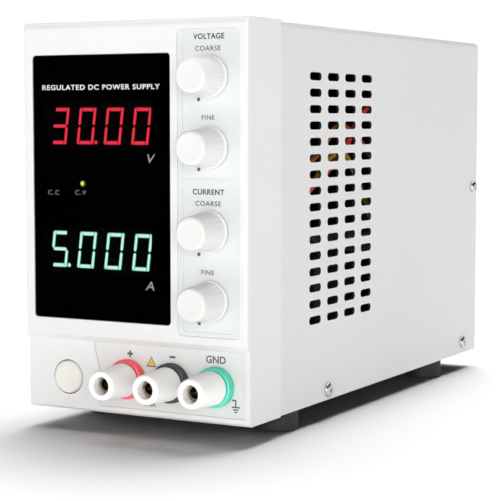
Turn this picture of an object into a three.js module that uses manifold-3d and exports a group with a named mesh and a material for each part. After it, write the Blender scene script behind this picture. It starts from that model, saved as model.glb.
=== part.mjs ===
// Bench power supply, 0-30 V 0-5 A class, in millimetres.
// Z is up, the front panel faces -Y, the base of the feet is at Z = 0.
// The figures below are written in a working frame whose origin is the left
// lower corner of the case at the upper front face; put() moves each finished
// piece into the part frame.
import * as THREE from 'three';
import { mergeVertices } from 'three/addons/utils/BufferGeometryUtils.js';
import Module from 'manifold-3d';

const wasm = await Module();
wasm.setup();

// ---- driving dimensions --------------------------------------------------
const W = 98;            // case width
const H = 148;           // case height without feet
const D = 230;           // front face to rear edge of the cover
const FOOT_H = 8;        // foot height
const BEZEL_D = 26;      // depth of the moulded front
const STEP = 2.2;        // recess of the lower face
const STEP_Z0 = 27, STEP_Z1 = 29.3;
const GAP = 0.3;
const SHEET = 1.0;       // cover and tray sheet

const POST_X = [45.95, 65.0, 84.05];   // 19.05 mm pitch
const POST_Z = 14.0;
const POST_FRONT = -17.3;
const KNOB_X = 82.2;
const KNOB_Z = [126.8, 101.3, 70.9, 45.4];
const BUTTON = { x: 18.3, z: 12.6, r: 6.4 };
const WINDOW = { x0: 4.4, x1: 65.7, z0: 35.6, z1: 135.5 };
const KPANEL = { x0: 69.0, x1: 94.8, z0: 32.3, z1: 143.8 };
const FIELD_V = { x0: 71.0, x1: 93.0, z0: 89.7, z1: 142.3 };
const FIELD_A = { x0: 71.0, x1: 93.0, z0: 33.8, z1: 86.7 };
const VENT = { y0: 55.7, dy: 15.69, nx: 4, z0: 127.9, dz: 6.3, nz: 16, len: 10.1, h: 3.15 };
const SCREWS = [
  { tag: 'lower_front', y: 67.3, z: 4.2 },
  { tag: 'lower_rear', y: 213.1, z: 5.4 },
  { tag: 'upper_rear', y: 225.2, z: 78.8 },
];
const FEET = [
  { tag: 'front_left', x: 10.5, y: 43 }, { tag: 'front_right', x: 87.5, y: 43 },
  { tag: 'rear_left', x: 10.5, y: 189 }, { tag: 'rear_right', x: 87.5, y: 189 },
];
const FAN = { x: 49, z: 98, size: 80, y1: 228.2, depth: 25 };
const INLET = { x: 49, z: 33 };

const Y_MIN = POST_FRONT, Y_MAX = 231.9;
const Y_MID = (Y_MIN + Y_MAX) / 2;

// ---- helpers ---------------------------------------------------------------
function toManifold(geo) {
  let g = geo.clone();
  g.deleteAttribute('normal');
  g.deleteAttribute('uv');
  g = mergeVertices(g, 1e-5);
  const pos = g.attributes.position.array;
  const idx = Array.from(g.index.array);
  // drop triangles that collapsed on an axis, and turn the surface outward
  const tri = [];
  let vol = 0;
  for (let i = 0; i < idx.length; i += 3) {
    const [a, b, c] = [idx[i], idx[i + 1], idx[i + 2]];
    if (a === b || b === c || a === c) continue;
    tri.push(a, b, c);
    const A = [pos[3 * a], pos[3 * a + 1], pos[3 * a + 2]];
    const B = [pos[3 * b], pos[3 * b + 1], pos[3 * b + 2]];
    const C = [pos[3 * c], pos[3 * c + 1], pos[3 * c + 2]];
    vol += (A[0] * (B[1] * C[2] - B[2] * C[1]) - A[1] * (B[0] * C[2] - B[2] * C[0])
      + A[2] * (B[0] * C[1] - B[1] * C[0])) / 6;
  }
  if (vol < 0) for (let i = 0; i < tri.length; i += 3) [tri[i + 1], tri[i + 2]] = [tri[i + 2], tri[i + 1]];
  return new wasm.Manifold(new wasm.Mesh({
    numProp: 3, vertProperties: new Float32Array(pos), triVerts: new Uint32Array(tri),
  }));
}
function fromManifold(m) {
  const mesh = m.getMesh();
  const g = new THREE.BufferGeometry();
  const np = mesh.numProp, n = mesh.vertProperties.length / np;
  const p = new Float32Array(n * 3);
  for (let i = 0; i < n; i++) for (let k = 0; k < 3; k++) p[3 * i + k] = mesh.vertProperties[np * i + k];
  g.setAttribute('position', new THREE.BufferAttribute(p, 3));
  g.setIndex(new THREE.BufferAttribute(new Uint32Array(mesh.triVerts), 1));
  return g;
}
const box = (x0, x1, y0, y1, z0, z1) => {
  const g = new THREE.BoxGeometry(x1 - x0, y1 - y0, z1 - z0);
  g.translate((x0 + x1) / 2, (y0 + y1) / 2, (z0 + z1) / 2);
  return toManifold(g);
};
// revolve a list of [radius, height] about an axis through (a, b)
function lathe(profile, axis, a, b, seg) {
  const g = new THREE.LatheGeometry(profile.map(([r, h]) => new THREE.Vector2(Math.max(r, 0), h)), seg);
  if (axis === 'y') g.translate(a, 0, b);
  if (axis === 'z') { g.rotateX(Math.PI / 2); g.translate(a, b, 0); }
  if (axis === 'x') { g.rotateZ(-Math.PI / 2); g.translate(0, a, b); }
  return toManifold(g);
}
const rod = (axis, r, h0, h1, a, b, seg = 16) => lathe([[0, h0], [r, h0], [r, h1], [0, h1]], axis, a, b, seg);
const tube = (axis, r0, r1, h0, h1, a, b, seg = 16) =>
  lathe([[r0, h0], [r1, h0], [r1, h1], [r0, h1], [r0, h0]], axis, a, b, seg);
// extrude a 2D outline: 'y' takes [x, z] points, 'x' takes [y, z], 'z' takes [x, y]
function prism(points, axis, h0, h1) {
  const s = new THREE.Shape(points.map(([u, v]) => new THREE.Vector2(u, v)));
  const g = new THREE.ExtrudeGeometry(s, { depth: h1 - h0, bevelEnabled: false, steps: 1 });
  const p = g.attributes.position;
  for (let i = 0; i < p.count; i++) {
    const u = p.getX(i), v = p.getY(i), w = p.getZ(i) + h0;
    if (axis === 'y') p.setXYZ(i, u, w, v);
    if (axis === 'x') p.setXYZ(i, w, u, v);
    if (axis === 'z') p.setXYZ(i, u, v, w);
  }
  return toManifold(g);
}
function roundRect(x0, x1, z0, z1, r, n = 3) {
  const pts = [];
  const corner = (cx, cz, a0) => {
    for (let i = 0; i <= n; i++) {
      const a = a0 + (Math.PI / 2) * (i / n);
      pts.push([cx + r * Math.cos(a), cz + r * Math.sin(a)]);
    }
  };
  corner(x1 - r, z0 + r, -Math.PI / 2);
  corner(x1 - r, z1 - r, 0);
  corner(x0 + r, z1 - r, Math.PI / 2);
  corner(x0 + r, z0 + r, Math.PI);
  return pts;
}
// slot with rounded ends, reduced to 6 points
function slot(cu, cv, len, h) {
  const r = h / 2, k = len / 2 - r * 0.75;
  return [[cu - k, cv - r], [cu + k, cv - r], [cu + len / 2, cv], [cu + k, cv + r], [cu - k, cv + r], [cu - len / 2, cv]];
}
const sub = (a, ...bs) => wasm.Manifold.difference([a, ...bs.flat()]);
const add = (...as) => wasm.Manifold.union(as.flat());
const inter = (a, b) => wasm.Manifold.intersection([a, b]);

const group = new THREE.Group();
group.name = 'bench_power_supply';
function put(name, m, colour, roughness, metalness) {
  const g = fromManifold(m);
  g.translate(-W / 2, -Y_MID, FOOT_H);
  const flat = g.toNonIndexed();
  flat.computeVertexNormals();
  const mesh = new THREE.Mesh(flat, new THREE.MeshStandardMaterial({ color: colour, roughness, metalness }));
  mesh.name = name;
  group.add(mesh);
}

// ---- moulded front -----------------------------------------------------------
{
  const r = 3.0, arc = [];
  for (let i = 0; i <= 4; i++) {
    const a = (Math.PI / 2) * (i / 4);
    arc.push([r - r * Math.cos(a), H - r + r * Math.sin(a)]);
  }
  const side = [[STEP, 1.0], [STEP, STEP_Z0], [0, STEP_Z1], ...arc, [BEZEL_D, H], [BEZEL_D, 0], [STEP + 1.0, 0]];
  const body = prism(side.reverse(), 'x', 0, W);
  const c = 1.2;
  const planLow = prism([[0, BEZEL_D], [0, c], [0.35, 0.35], [c, 0], [W - c, 0], [W - 0.35, 0.35], [W, c], [W, BEZEL_D]], 'z', -1, H + 1);
  let b = inter(body, planLow);
  b = sub(b,
    box(2.2, W - 2.2, 2.9, BEZEL_D + 1, 30.6, H - 2.2),
    box(2.2, W - 2.2, 5.0, BEZEL_D + 1, 2.2, 30.7));
  // window recess and aperture
  b = sub(b,
    prism(roundRect(WINDOW.x0 - 0.2, WINDOW.x1 + 0.2, WINDOW.z0 - 0.2, WINDOW.z1 + 0.2, 1.6), 'y', -1, 2.05),
    box(7.2, 63.5, 1, 4, 38.2, 133));
  // recess of the control panel
  b = sub(b, prism(roundRect(KPANEL.x0 - 0.2, KPANEL.x1 + 0.2, KPANEL.z0 - 0.2, KPANEL.z1 + 0.2, 1.7), 'y', -1, 1.5),
    ...KNOB_Z.map((z) => rod('y', 3.9, 0, 6, KNOB_X, z, 16)));
  // recess of the terminal panel, with its bent left edge
  b = sub(b, prism([[33.0, 2.6], [96.2, 2.6], [96.2, 27.2], [30.2, 27.2], [30.5, 23.2], [32.0, 19.5], [32.4, 16.3], [32.6, 3.0]],
    'y', 1, 3.4),
    ...POST_X.map((x) => rod('y', 4.8, 1, 8, x, POST_Z, 20)),
    rod('y', BUTTON.r + 0.4, 1, 8, BUTTON.x, BUTTON.z, 24));
  // bosses that carry the display board
  const boss = (x, z) => rod('y', 2.2, 2.4, 11.2, x, z, 10);
  b = add(b, boss(5.4, 33.9), boss(66.6, 33.9), boss(5.4, 138.2), boss(66.6, 138.2));
  put('front_bezel', b, '#f1efe9', 0.45, 0);
}
put('display_window', prism(roundRect(WINDOW.x0, WINDOW.x1, WINDOW.z0, WINDOW.z1, 1.4, 4), 'y', 0.25, 1.75), '#0c0d10', 0.06, 0);
{
  let p = prism(roundRect(KPANEL.x0, KPANEL.x1, KPANEL.z0, KPANEL.z1, 1.5), 'y', 0.3, 1.2);
  const field = (f) => prism(roundRect(f.x0, f.x1, f.z0, f.z1, 1.2), 'y', 0, 0.65);
  p = sub(p, field(FIELD_V), field(FIELD_A), ...KNOB_Z.map((z) => rod('y', 3.9, 0, 2, KNOB_X, z, 16)));
  put('control_panel', p, '#dfe7e9', 0.5, 0);
}
{
  let p = prism([[33.3, 2.9], [95.9, 2.9], [95.9, 26.9], [30.5, 26.9], [30.8, 23.2], [32.3, 19.5], [32.7, 16.3], [32.9, 3.3]],
    'y', 2.45, 3.1);
  p = sub(p, ...POST_X.map((x) => rod('y', 4.8, 1, 8, x, POST_Z, 20)));
  put('terminal_panel', p, '#dfe7e9', 0.5, 0);
}

// ---- cover, tray and rear panel ----------------------------------------------
{
  const x0 = 0.5, x1 = W - 0.5, z0 = 0.3, z1 = H - 0.5, y0 = BEZEL_D + GAP, y1 = D;
  const o = [[x0, z0], [x0, z1 - 2], [x0 + 0.6, z1 - 0.6], [x0 + 2, z1], [x1 - 2, z1], [x1 - 0.6, z1 - 0.6], [x1, z1 - 2], [x1, z0],
    [x1 - SHEET, z0], [x1 - SHEET, z1 - 2.2], [x1 - 1.5, z1 - 1.4], [x1 - 2.4, z1 - SHEET],
    [x0 + 2.4, z1 - SHEET], [x0 + 1.5, z1 - 1.4], [x0 + SHEET, z1 - 2.2], [x0 + SHEET, z0]];
  let c = prism(o, 'y', y0, y1);
  const cuts = [];
  for (let j = 0; j < VENT.nx; j++) for (let i = 0; i < VENT.nz; i++) {
    cuts.push(prism(slot(VENT.y0 + j * VENT.dy, VENT.z0 - i * VENT.dz, VENT.len, VENT.h), 'x', -2, W + 2));
  }
  for (const s of SCREWS) {
    cuts.push(rod('x', 1.75, -2, 3, s.y, s.z, 8), rod('x', 1.75, W - 3, W + 2, s.y, s.z, 8));
  }
  c = sub(c, ...cuts);
  put('top_cover', c, '#e3e3e1', 0.5, 0.1);
}
const IN0 = 1.8, IN1 = W - 1.8;      // outer faces of the sheets inside the cover
{
  const flange = 11;
  let t = add(box(IN0, IN1, BEZEL_D + GAP, 228.4, 0, SHEET),
    box(IN0, IN0 + SHEET, BEZEL_D + GAP, 218.4, 0, flange),
    box(IN1 - SHEET, IN1, BEZEL_D + GAP, 218.4, 0, flange),
    box(IN0, IN1, 26.3, 27.3, 0, 8));
  for (const [x, y] of [[14, 44], [84, 44], [14, 196], [84, 196]]) t = add(t, rod('z', 2.6, 0.5, 11.7, x, y, 8));
  const holes = [];
  for (const s of SCREWS.slice(0, 2)) {
    holes.push(rod('x', 1.75, -2, 5, s.y, s.z, 8), rod('x', 1.75, W - 5, W + 2, s.y, s.z, 8));
  }
  for (const f of FEET) holes.push(rod('z', 2.6, -1, 3, f.x, f.y, 10));
  t = sub(t, ...holes);
  put('base_tray', t, '#b9bbbd', 0.4, 0.8);
}
{
  const y0 = 228.7, y1 = 229.7;
  const top = H - 1.9, k0 = 1.6;
  let r = add(prism([[IN0, 1.3], [IN1, 1.3], [IN1, top - k0], [IN1 - k0, top], [IN0 + k0, top], [IN0, top - k0]], 'y', y0, y1),
    box(IN0, IN0 + SHEET, 219.0, y1, 14, H - 6), box(IN1 - SHEET, IN1, 219.0, y1, 14, H - 6));
  const cuts = [];
  const dz = 6.4, R = 37;
  for (let k = -5; k <= 5; k++) {
    const half = Math.sqrt(R * R - (Math.abs(k) * dz + 1.5) ** 2);
    const len = half - 2.5;
    if (len < 6) continue;
    for (const s of [-1, 1]) cuts.push(prism(slot(FAN.x + s * (2.5 + len / 2), FAN.z + k * dz, len, 3.4), 'y', y0 - 1, y1 + 1));
  }
  cuts.push(prism(roundRect(INLET.x - 14.0, INLET.x + 14.0, INLET.z - 15.3, INLET.z + 13.0, 1, 2), 'y', y0 - 1, y1 + 1));
  const sh = SCREWS[2];
  cuts.push(rod('x', 1.75, -2, 5, sh.y, sh.z, 8), rod('x', 1.75, W - 5, W + 2, sh.y, sh.z, 8));
  r = sub(r, ...cuts);
  put('rear_panel', r, '#c9cacb', 0.45, 0.5);
}
// rubber feet: a turned pad with a push-in stem
for (const f of FEET) {
  const m = lathe([[0, -FOOT_H], [7.8, -FOOT_H], [8.5, -FOOT_H + 0.8], [8.5, -GAP], [2.1, -GAP], [2.1, 2.4], [0, 2.4]],
    'z', 0, 0, 18);
  put(`foot_${f.tag}`, m.translate([f.x, f.y, 0]), '#3b3c3f', 0.85, 0);
}
// cover screws: pan head and plain shank
for (const s of SCREWS) {
  for (const side of ['right', 'left']) {
    const face = W - 0.5 + 0.15;
    let m = lathe([[0, face - 5.2], [1.45, face - 5.2], [1.45, face], [2.9, face], [2.9, face + 0.5], [2.2, face + 1.3], [1.2, face + 1.5], [0, face + 0.7]],
      'x', s.y, s.z, 12);
    if (side === 'left') m = m.mirror([1, 0, 0]).translate([W, 0, 0]);
    put(`screw_${s.tag}_${side}`, m, '#a9abad', 0.3, 1);
  }
}

// ---- controls ------------------------------------------------------------------
const KNOBS = ['voltage_coarse', 'voltage_fine', 'current_coarse', 'current_fine'];
KNOBS.forEach((tag, i) => {
  const z = KNOB_Z[i];
  // fluted, tapered grip: rings of points joined into one closed skin
  const n = 24;
  const flute = (a) => Math.max(0, Math.cos(12 * a)) ** 2;
  const rings = [[7.85, 0.15, 0], [7.85, -0.75, 0], [7.25, -1.25, 0.25], [6.2, -12.6, 0], [5.55, -13.75, 0]];
  const pos = [], idx = [];
  rings.forEach(([r, y, f]) => {
    for (let k = 0; k < n; k++) {
      const a = (2 * Math.PI * k) / n, rr = r - f * flute(a);
      pos.push(rr * Math.cos(a), y, rr * Math.sin(a));
    }
  });
  for (let j = 0; j < rings.length - 1; j++) for (let k = 0; k < n; k++) {
    const a = j * n + k, b = j * n + ((k + 1) % n), c = a + n, d = b + n;
    idx.push(a, b, c, b, d, c);
  }
  const c0 = pos.length / 3; pos.push(0, rings[0][1], 0);
  const c1 = c0 + 1; pos.push(0, rings[rings.length - 1][1], 0);
  const last = (rings.length - 1) * n;
  for (let k = 0; k < n; k++) { idx.push(c0, (k + 1) % n, k); idx.push(c1, last + k, last + ((k + 1) % n)); }
  const g = new THREE.BufferGeometry();
  g.setAttribute('position', new THREE.BufferAttribute(new Float32Array(pos), 3));
  g.setIndex(idx);
  let m = toManifold(g);
  m = sub(m, rod('y', 6.0, -4.6, 1, 0, 0, 14), rod('y', 3.35, -11.1, 1, 0, 0, 12));
  put(`${tag}_knob`, m.translate([KNOB_X, 0, z]), '#f4f3ef', 0.4, 0);
  put(`${tag}_shaft`, rod('y', 3.0, -10.8, 8.2, KNOB_X, z, 12), '#b8babd', 0.3, 1);
  // potentiometer: threaded bushing, can and a closed back
  put(`${tag}_pot`, lathe([[3.3, -2.4], [3.5, -2.4], [3.5, 3.2], [8.2, 3.2], [8.2, 11.6], [0, 11.6], [0, 8.5], [3.3, 8.5], [3.3, -2.4]],
    'y', KNOB_X, z, 16), '#6d6f72', 0.4, 0.8);
});

// ---- binding posts ----------------------------------------------------------------
const POSTS = [['positive', '#ef5366'], ['negative', '#45484c'], ['ground', '#63dcc0']];
POSTS.forEach(([tag, colour], i) => {
  const x = POST_X[i];
  put(`${tag}_post_base`, lathe([[3.2, -1.4], [7.15, -1.4], [7.45, -1.1], [7.5, 2.15], [4.5, 2.15], [4.5, 7.4], [3.2, 7.4], [3.2, -1.4]],
    'y', x, POST_Z, 20), colour, 0.5, 0);
  // clamp washer: slides on the flat of the stem without turning
  put(`${tag}_clamp_washer`, tube('y', 3.2, 4.65, -2.6, -1.8, x, POST_Z, 14), '#d8c48c', 0.3, 1);
  // screw cap with a counterbore for the washer and a mouth for a 4 mm plug
  put(`${tag}_post_cap`, lathe([[5.1, -1.75], [6.35, -1.75], [5.5, -16.2], [4.7, POST_FRONT], [3.3, POST_FRONT],
    [3.3, -2.95], [5.1, -2.95], [5.1, -1.75]], 'y', x, POST_Z, 20), '#f5f4f0', 0.4, 0);
  // turned stem: 4 mm socket in the nose, cross hole for bare wire, solder tail
  let s = lathe([[0, 21], [1.6, 21], [1.6, 13], [2.8, 12.6], [2.8, -13.6], [2.1, -13.6], [2.1, -5.2], [0, -4.4]], 'y', x, POST_Z, 14);
  s = sub(s, rod('x', 0.9, x - 4, x + 4, -2.9, POST_Z, 6), box(x - 1.7, x + 1.7, 15.5, 22, POST_Z + 0.6, POST_Z + 2),
    box(x - 1.7, x + 1.7, 15.5, 22, POST_Z - 2, POST_Z - 0.6));
  put(`${tag}_post_stem`, s, '#cfa75a', 0.25, 1);
});

// ---- power button and its switch ------------------------------------------------------
{
  const { x, z, r } = BUTTON;
  put('power_button', add(lathe([[0, 1.15], [4.6, 1.0], [r - 0.5, 0.9], [r, 1.35], [r, 8.6], [0, 8.6]], 'y', x, z, 22),
    rod('y', 2.2, 8, 15.5, x, z, 10)), '#f0eee6', 0.45, 0);
  let s = box(x - 7.6, x + 7.6, 11.2, 25.2, z - 7, z + 7);
  s = sub(s, rod('y', 2.6, 10, 17.2, x, z, 10));
  put('power_switch', s, '#2b2c2f', 0.6, 0);
}

// ---- display board, LED modules and indicator lamps ----------------------------------------
{
  let b = box(3.4, 71.0, 11.5, 13.1, 31.5, 141.0);
  put('display_board', b, '#1f6b45', 0.6, 0);
  const mod = (name, zc, colour) => put(name, box(6.7, 57.0, 3.3, 11.2, zc - 9.5, zc + 9.5), colour, 0.5, 0);
  mod('voltage_display', 108.85, '#1b1b1c');
  mod('current_display', 61.8, '#1b1b1c');
  const lamp = (name, x, colour) => put(name,
    lathe([[0, 11.2], [1.2, 11.2], [1.2, 7.6], [1.9, 7.6], [1.9, 6.8], [1.5, 6.8], [1.5, 3.9], [1.2, 2.9], [0, 2.4]],
      'y', x, 87.1, 10), colour, 0.2, 0);
  lamp('constant_current_lamp', 13.3, '#a33a34');
  lamp('constant_voltage_lamp', 26.1, '#c6e64a');
}

// ---- inside the case ----------------------------------------------------------------------
put('main_board', box(8, 90, 36, 204, 12.0, 13.6), '#1f6b45', 0.6, 0);
{ // switching transformer: ferrite core around a taped winding
  const cx = 58, cy = 128, z0 = 13.9;
  put('transformer', add(box(cx - 21, cx + 21, cy - 8, cy + 8, z0 + 4, z0 + 40),
    box(cx - 15, cx + 15, cy - 18, cy + 18, z0 + 6, z0 + 38), box(cx - 19, cx + 19, cy - 16, cy + 16, z0, z0 + 4.5)), '#4a4642', 0.6, 0.1);
}
{ // finned heatsink standing on the board
  const parts = [box(12, 15, 60, 170, 13.9, 82)];
  for (let k = 0; k < 7; k++) parts.push(box(14.5, 27, 62 + k * 17.3, 64 + k * 17.3, 20, 82));
  put('heatsink', add(...parts), '#9fa3a6', 0.4, 1);
}
put('filter_capacitor', lathe([[0, 13.9], [11.0, 13.9], [11, 50], [10.2, 51], [0, 51]], 'z', 0, 0, 16)
  .translate([76, 60, 0]), '#26345e', 0.4, 0);
{
  const { x, z, size, y1, depth } = FAN, h = size / 2, y0 = y1 - depth;
  let f = prism(roundRect(x - h, x + h, z - h, z + h, 4, 2), 'y', y0, y1);
  f = sub(f, rod('y', 38.3, y0 - 1, y1 + 1, x, z, 28),
    ...[[1, 1], [1, -1], [-1, 1], [-1, -1]].map(([a, b]) => rod('y', 2.1, y0 - 1, y1 + 1, x + a * 35.75, z + b * 35.75, 6)));
  // motor mount with four struts at the rear of the frame
  f = add(f, rod('y', 17, y1 - 3.0, y1, x, z, 16),
    box(x - 39, x + 39, y1 - 2.6, y1, z - 2, z + 2), box(x - 2, x + 2, y1 - 2.6, y1, z - 39, z + 39));
  put('fan_frame', f, '#2a2b2d', 0.6, 0);
  const blades = [];
  const nb = 7;
  for (let k = 0; k < nb; k++) {
    const g = new THREE.BoxGeometry(22, 1.4, 17, 3, 1, 1);
    const p = g.attributes.position;
    for (let i = 0; i < p.count; i++) {
      const t = (p.getX(i) + 11) / 22;
      const a = 0.72 - 0.28 * t, w = p.getZ(i) * (0.85 + 0.3 * t), y = p.getY(i);
      p.setY(i, w * Math.sin(a) + y * Math.cos(a));
      p.setZ(i, w * Math.cos(a) - y * Math.sin(a));
      p.setX(i, p.getX(i) + 11 + 14.5);
    }
    g.rotateY((2 * Math.PI * k) / nb);
    blades.push(toManifold(g));
  }
  const rotor = add(lathe([[0, -8.5], [14.6, -8.5], [16, -7.2], [16, 8.5], [0, 8.5]], 'y', 0, 0, 18), ...blades);
  put('fan_rotor', rotor.translate([x, y0 + 11.5, z]), '#2f3133', 0.6, 0);
}
{ // mains inlet: flange, shell with a keyed mouth and three moulded-in pins; fuse drawer below
  const { x, z } = INLET, yf = Y_MAX, yp = 230.0;
  const mouth = [[x - 12, z - 5.5], [x - 8.5, z - 8], [x + 8.5, z - 8], [x + 12, z - 5.5], [x + 12, z + 8], [x - 12, z + 8]];
  const shell = add(prism(roundRect(x - 16, x + 16, z - 18, z + 15.5, 1.5, 2), 'y', yp, yf),
    prism(roundRect(x - 13.7, x + 13.7, z - 15.0, z + 12.7, 1, 2), 'y', 212, yp + 0.5));
  let s = sub(shell, prism(mouth, 'y', 216.4, yf + 1), box(x - 8.3, x + 8.3, 214, yf + 1, z - 14.2, z - 9.6));
  s = add(s, box(x - 1.0, x + 1.0, 215, yf - 1.5, z + 1.2, z + 5.2), box(x - 8.0, x - 6.0, 215, yf - 3, z - 3.4, z + 0.6),
    box(x + 6.0, x + 8.0, 215, yf - 3, z - 3.4, z + 0.6));
  put('mains_inlet', s, '#1d1e20', 0.5, 0);
  put('fuse_drawer', add(box(x - 8.0, x + 8.0, 214.4, yf - 0.4, z - 13.9, z - 9.9)), '#2a2b2d', 0.5, 0);
}
// three insulated wires from the display board to the main board, close to the right wall
function wire(name, points, colour) {
  const curve = new THREE.CatmullRomCurve3(points.map((p) => new THREE.Vector3(...p)), false, 'centripetal');
  const s = new THREE.Shape();
  const r = 1.15;
  s.moveTo(r, 0);
  for (let i = 1; i < 6; i++) s.lineTo(r * Math.cos((i * Math.PI) / 3), r * Math.sin((i * Math.PI) / 3));
  s.closePath();
  const g = new THREE.ExtrudeGeometry(s, { steps: 18, bevelEnabled: false, extrudePath: curve });
  put(name, toManifold(g), colour, 0.5, 0);
}
wire('red_wire', [[66, 14.6, 74], [82, 21, 72], [94.5, 40, 77], [94.7, 56, 84], [94.7, 87, 99], [94.7, 103, 113], [94.7, 118, 117],
  [94.6, 131, 106], [94.2, 138, 80], [90, 143, 45], [80, 146, 15.4]], '#d23a2c');
wire('orange_wire', [[66, 14.6, 82], [82, 21, 81], [91.5, 42, 87], [91.6, 72, 99], [91.6, 87, 108.6], [91.6, 102, 106], [91.5, 120, 96],
  [91, 148, 84], [89, 162, 56], [85, 166, 34], [80, 168, 15.4]], '#e8772e');
wire('yellow_wire', [[66, 14.6, 66], [80, 21, 64], [88.5, 42, 72], [88.6, 70, 85.5], [88.6, 87, 96], [88.6, 100, 97], [88.0, 118, 82],
  [86, 140, 62], [84, 172, 52], [82, 190, 30], [80, 194, 15.4]], '#e9c93a');

export default group;
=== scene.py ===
import math
import random
import bpy
import bmesh
from mathutils import Vector, Matrix

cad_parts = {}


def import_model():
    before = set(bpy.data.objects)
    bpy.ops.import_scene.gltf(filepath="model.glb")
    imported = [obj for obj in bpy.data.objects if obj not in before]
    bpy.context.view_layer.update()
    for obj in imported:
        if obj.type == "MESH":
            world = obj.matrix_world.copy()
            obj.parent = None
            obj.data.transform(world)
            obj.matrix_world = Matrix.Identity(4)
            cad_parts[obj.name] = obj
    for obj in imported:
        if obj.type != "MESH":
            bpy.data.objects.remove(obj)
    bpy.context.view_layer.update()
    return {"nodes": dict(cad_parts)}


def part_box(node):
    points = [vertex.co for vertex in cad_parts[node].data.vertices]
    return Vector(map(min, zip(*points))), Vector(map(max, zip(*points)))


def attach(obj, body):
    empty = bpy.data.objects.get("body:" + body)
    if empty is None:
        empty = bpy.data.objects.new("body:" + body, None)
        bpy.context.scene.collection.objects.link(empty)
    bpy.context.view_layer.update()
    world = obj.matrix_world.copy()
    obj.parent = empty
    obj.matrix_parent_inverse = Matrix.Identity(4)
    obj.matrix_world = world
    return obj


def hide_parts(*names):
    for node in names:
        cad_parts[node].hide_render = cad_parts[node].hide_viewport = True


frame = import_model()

scene = bpy.context.scene
MM = 0.001

# ---------------------------------------------------------------- working frame
# Figures are in millimetres from the left lower corner of the moulded front,
# as its CAD solid gives it.
_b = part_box("front_bezel")
ORG = Vector((_b[0][0], _b[0][1], _b[0][2]))


def P(x, y, z):
    return Vector((ORG.x + x * MM, ORG.y + y * MM, ORG.z + z * MM))


def nbox(node):
    """A node's box in the working frame: ((x0, y0, z0), (x1, y1, z1)) in mm."""
    a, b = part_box(node)
    return (tuple((a[i] - ORG[i]) / MM for i in range(3)),
            tuple((b[i] - ORG[i]) / MM for i in range(3)))


def centre(node):
    a, b = nbox(node)
    return tuple((a[i] + b[i]) / 2 for i in range(3))


# ---------------------------------------------------------------- materials
def new_mat(name):
    m = bpy.data.materials.new(name)
    m.use_nodes = True
    nt = m.node_tree
    for n in list(nt.nodes):
        nt.nodes.remove(n)
    out = nt.nodes.new("ShaderNodeOutputMaterial")
    bs = nt.nodes.new("ShaderNodeBsdfPrincipled")
    nt.links.new(bs.outputs[0], out.inputs[0])
    return m, nt, bs, out


def coords(nt, scale=(1, 1, 1)):
    tc = nt.nodes.new("ShaderNodeTexCoord")
    mp = nt.nodes.new("ShaderNodeMapping")
    mp.inputs["Scale"].default_value = scale
    nt.links.new(tc.outputs["Object"], mp.inputs[0])
    return mp.outputs[0]


def noise(nt, vec, scale, detail=3.0, rough=0.55):
    n = nt.nodes.new("ShaderNodeTexNoise")
    n.inputs["Scale"].default_value = scale
    n.inputs["Detail"].default_value = detail
    n.inputs["Roughness"].default_value = rough
    nt.links.new(vec, n.inputs["Vector"])
    return n.outputs["Fac"]


def ramp(nt, fac, stops):
    r = nt.nodes.new("ShaderNodeValToRGB")
    el = r.color_ramp.elements
    while len(el) > 1:
        el.remove(el[-1])
    el[0].position, el[0].color = stops[0][0], (*stops[0][1], 1)
    for p, c in stops[1:]:
        e = el.new(p)
        e.color = (*c, 1)
    nt.links.new(fac, r.inputs[0])
    return r.outputs[0]


def mrange(nt, fac, a, b, lo, hi):
    r = nt.nodes.new("ShaderNodeMapRange")
    r.inputs["From Min"].default_value = a
    r.inputs["From Max"].default_value = b
    r.inputs["To Min"].default_value = lo
    r.inputs["To Max"].default_value = hi
    nt.links.new(fac, r.inputs[0])
    return r.outputs[0]


def add_bump(nt, bs, height, strength, dist):
    b = nt.nodes.new("ShaderNodeBump")
    b.inputs["Strength"].default_value = strength
    b.inputs["Distance"].default_value = dist
    nt.links.new(height, b.inputs["Height"])
    nt.links.new(b.outputs[0], bs.inputs["Normal"])


def tint(c, f):
    return tuple(max(0.0, min(1.0, v * f)) for v in c)


def plastic(name, col, rough=0.4, grain=900.0, bump=0.12, dist=0.00006, var=0.03, coat=0.0, sss=0.0, rvar=0.05, ior=1.5, spec=0.5):
    m, nt, bs, out = new_mat(name)
    bs.inputs["Specular IOR Level"].default_value = spec
    v = coords(nt)
    big = noise(nt, v, 22.0, 4.0)
    nt.links.new(ramp(nt, big, [(0.3, tint(col, 1 - var)), (0.7, tint(col, 1 + var * 0.4))]), bs.inputs["Base Color"])
    fine = noise(nt, v, grain, 3.0, 0.6)
    nt.links.new(mrange(nt, fine, 0.3, 0.7, max(0.02, rough - rvar), rough + rvar), bs.inputs["Roughness"])
    if bump:
        add_bump(nt, bs, fine, bump, dist)
    bs.inputs["Coat Weight"].default_value = coat
    bs.inputs["Coat Roughness"].default_value = 0.08
    bs.inputs["IOR"].default_value = ior
    if sss:
        bs.inputs["Subsurface Weight"].default_value = sss
        bs.inputs["Subsurface Radius"].default_value = (0.002, 0.0016, 0.0012)
        bs.inputs["Subsurface Scale"].default_value = 0.6
    return m


def metal(name, col, rough=0.3, brushed=None, bump=0.05, spots=0.06):
    m, nt, bs, out = new_mat(name)
    v = coords(nt, brushed or (1, 1, 1))
    n = noise(nt, v, 420.0 if brushed else 160.0, 4.0, 0.6)
    nt.links.new(ramp(nt, n, [(0.25, tint(col, 1 - spots * 1.6)), (0.75, tint(col, 1 + spots * 0.6))]), bs.inputs["Base Color"])
    nt.links.new(mrange(nt, n, 0.25, 0.75, max(0.05, rough - 0.07), rough + 0.09), bs.inputs["Roughness"])
    bs.inputs["Metallic"].default_value = 1.0
    if bump:
        add_bump(nt, bs, n, bump, 0.00004)
    return m


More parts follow.
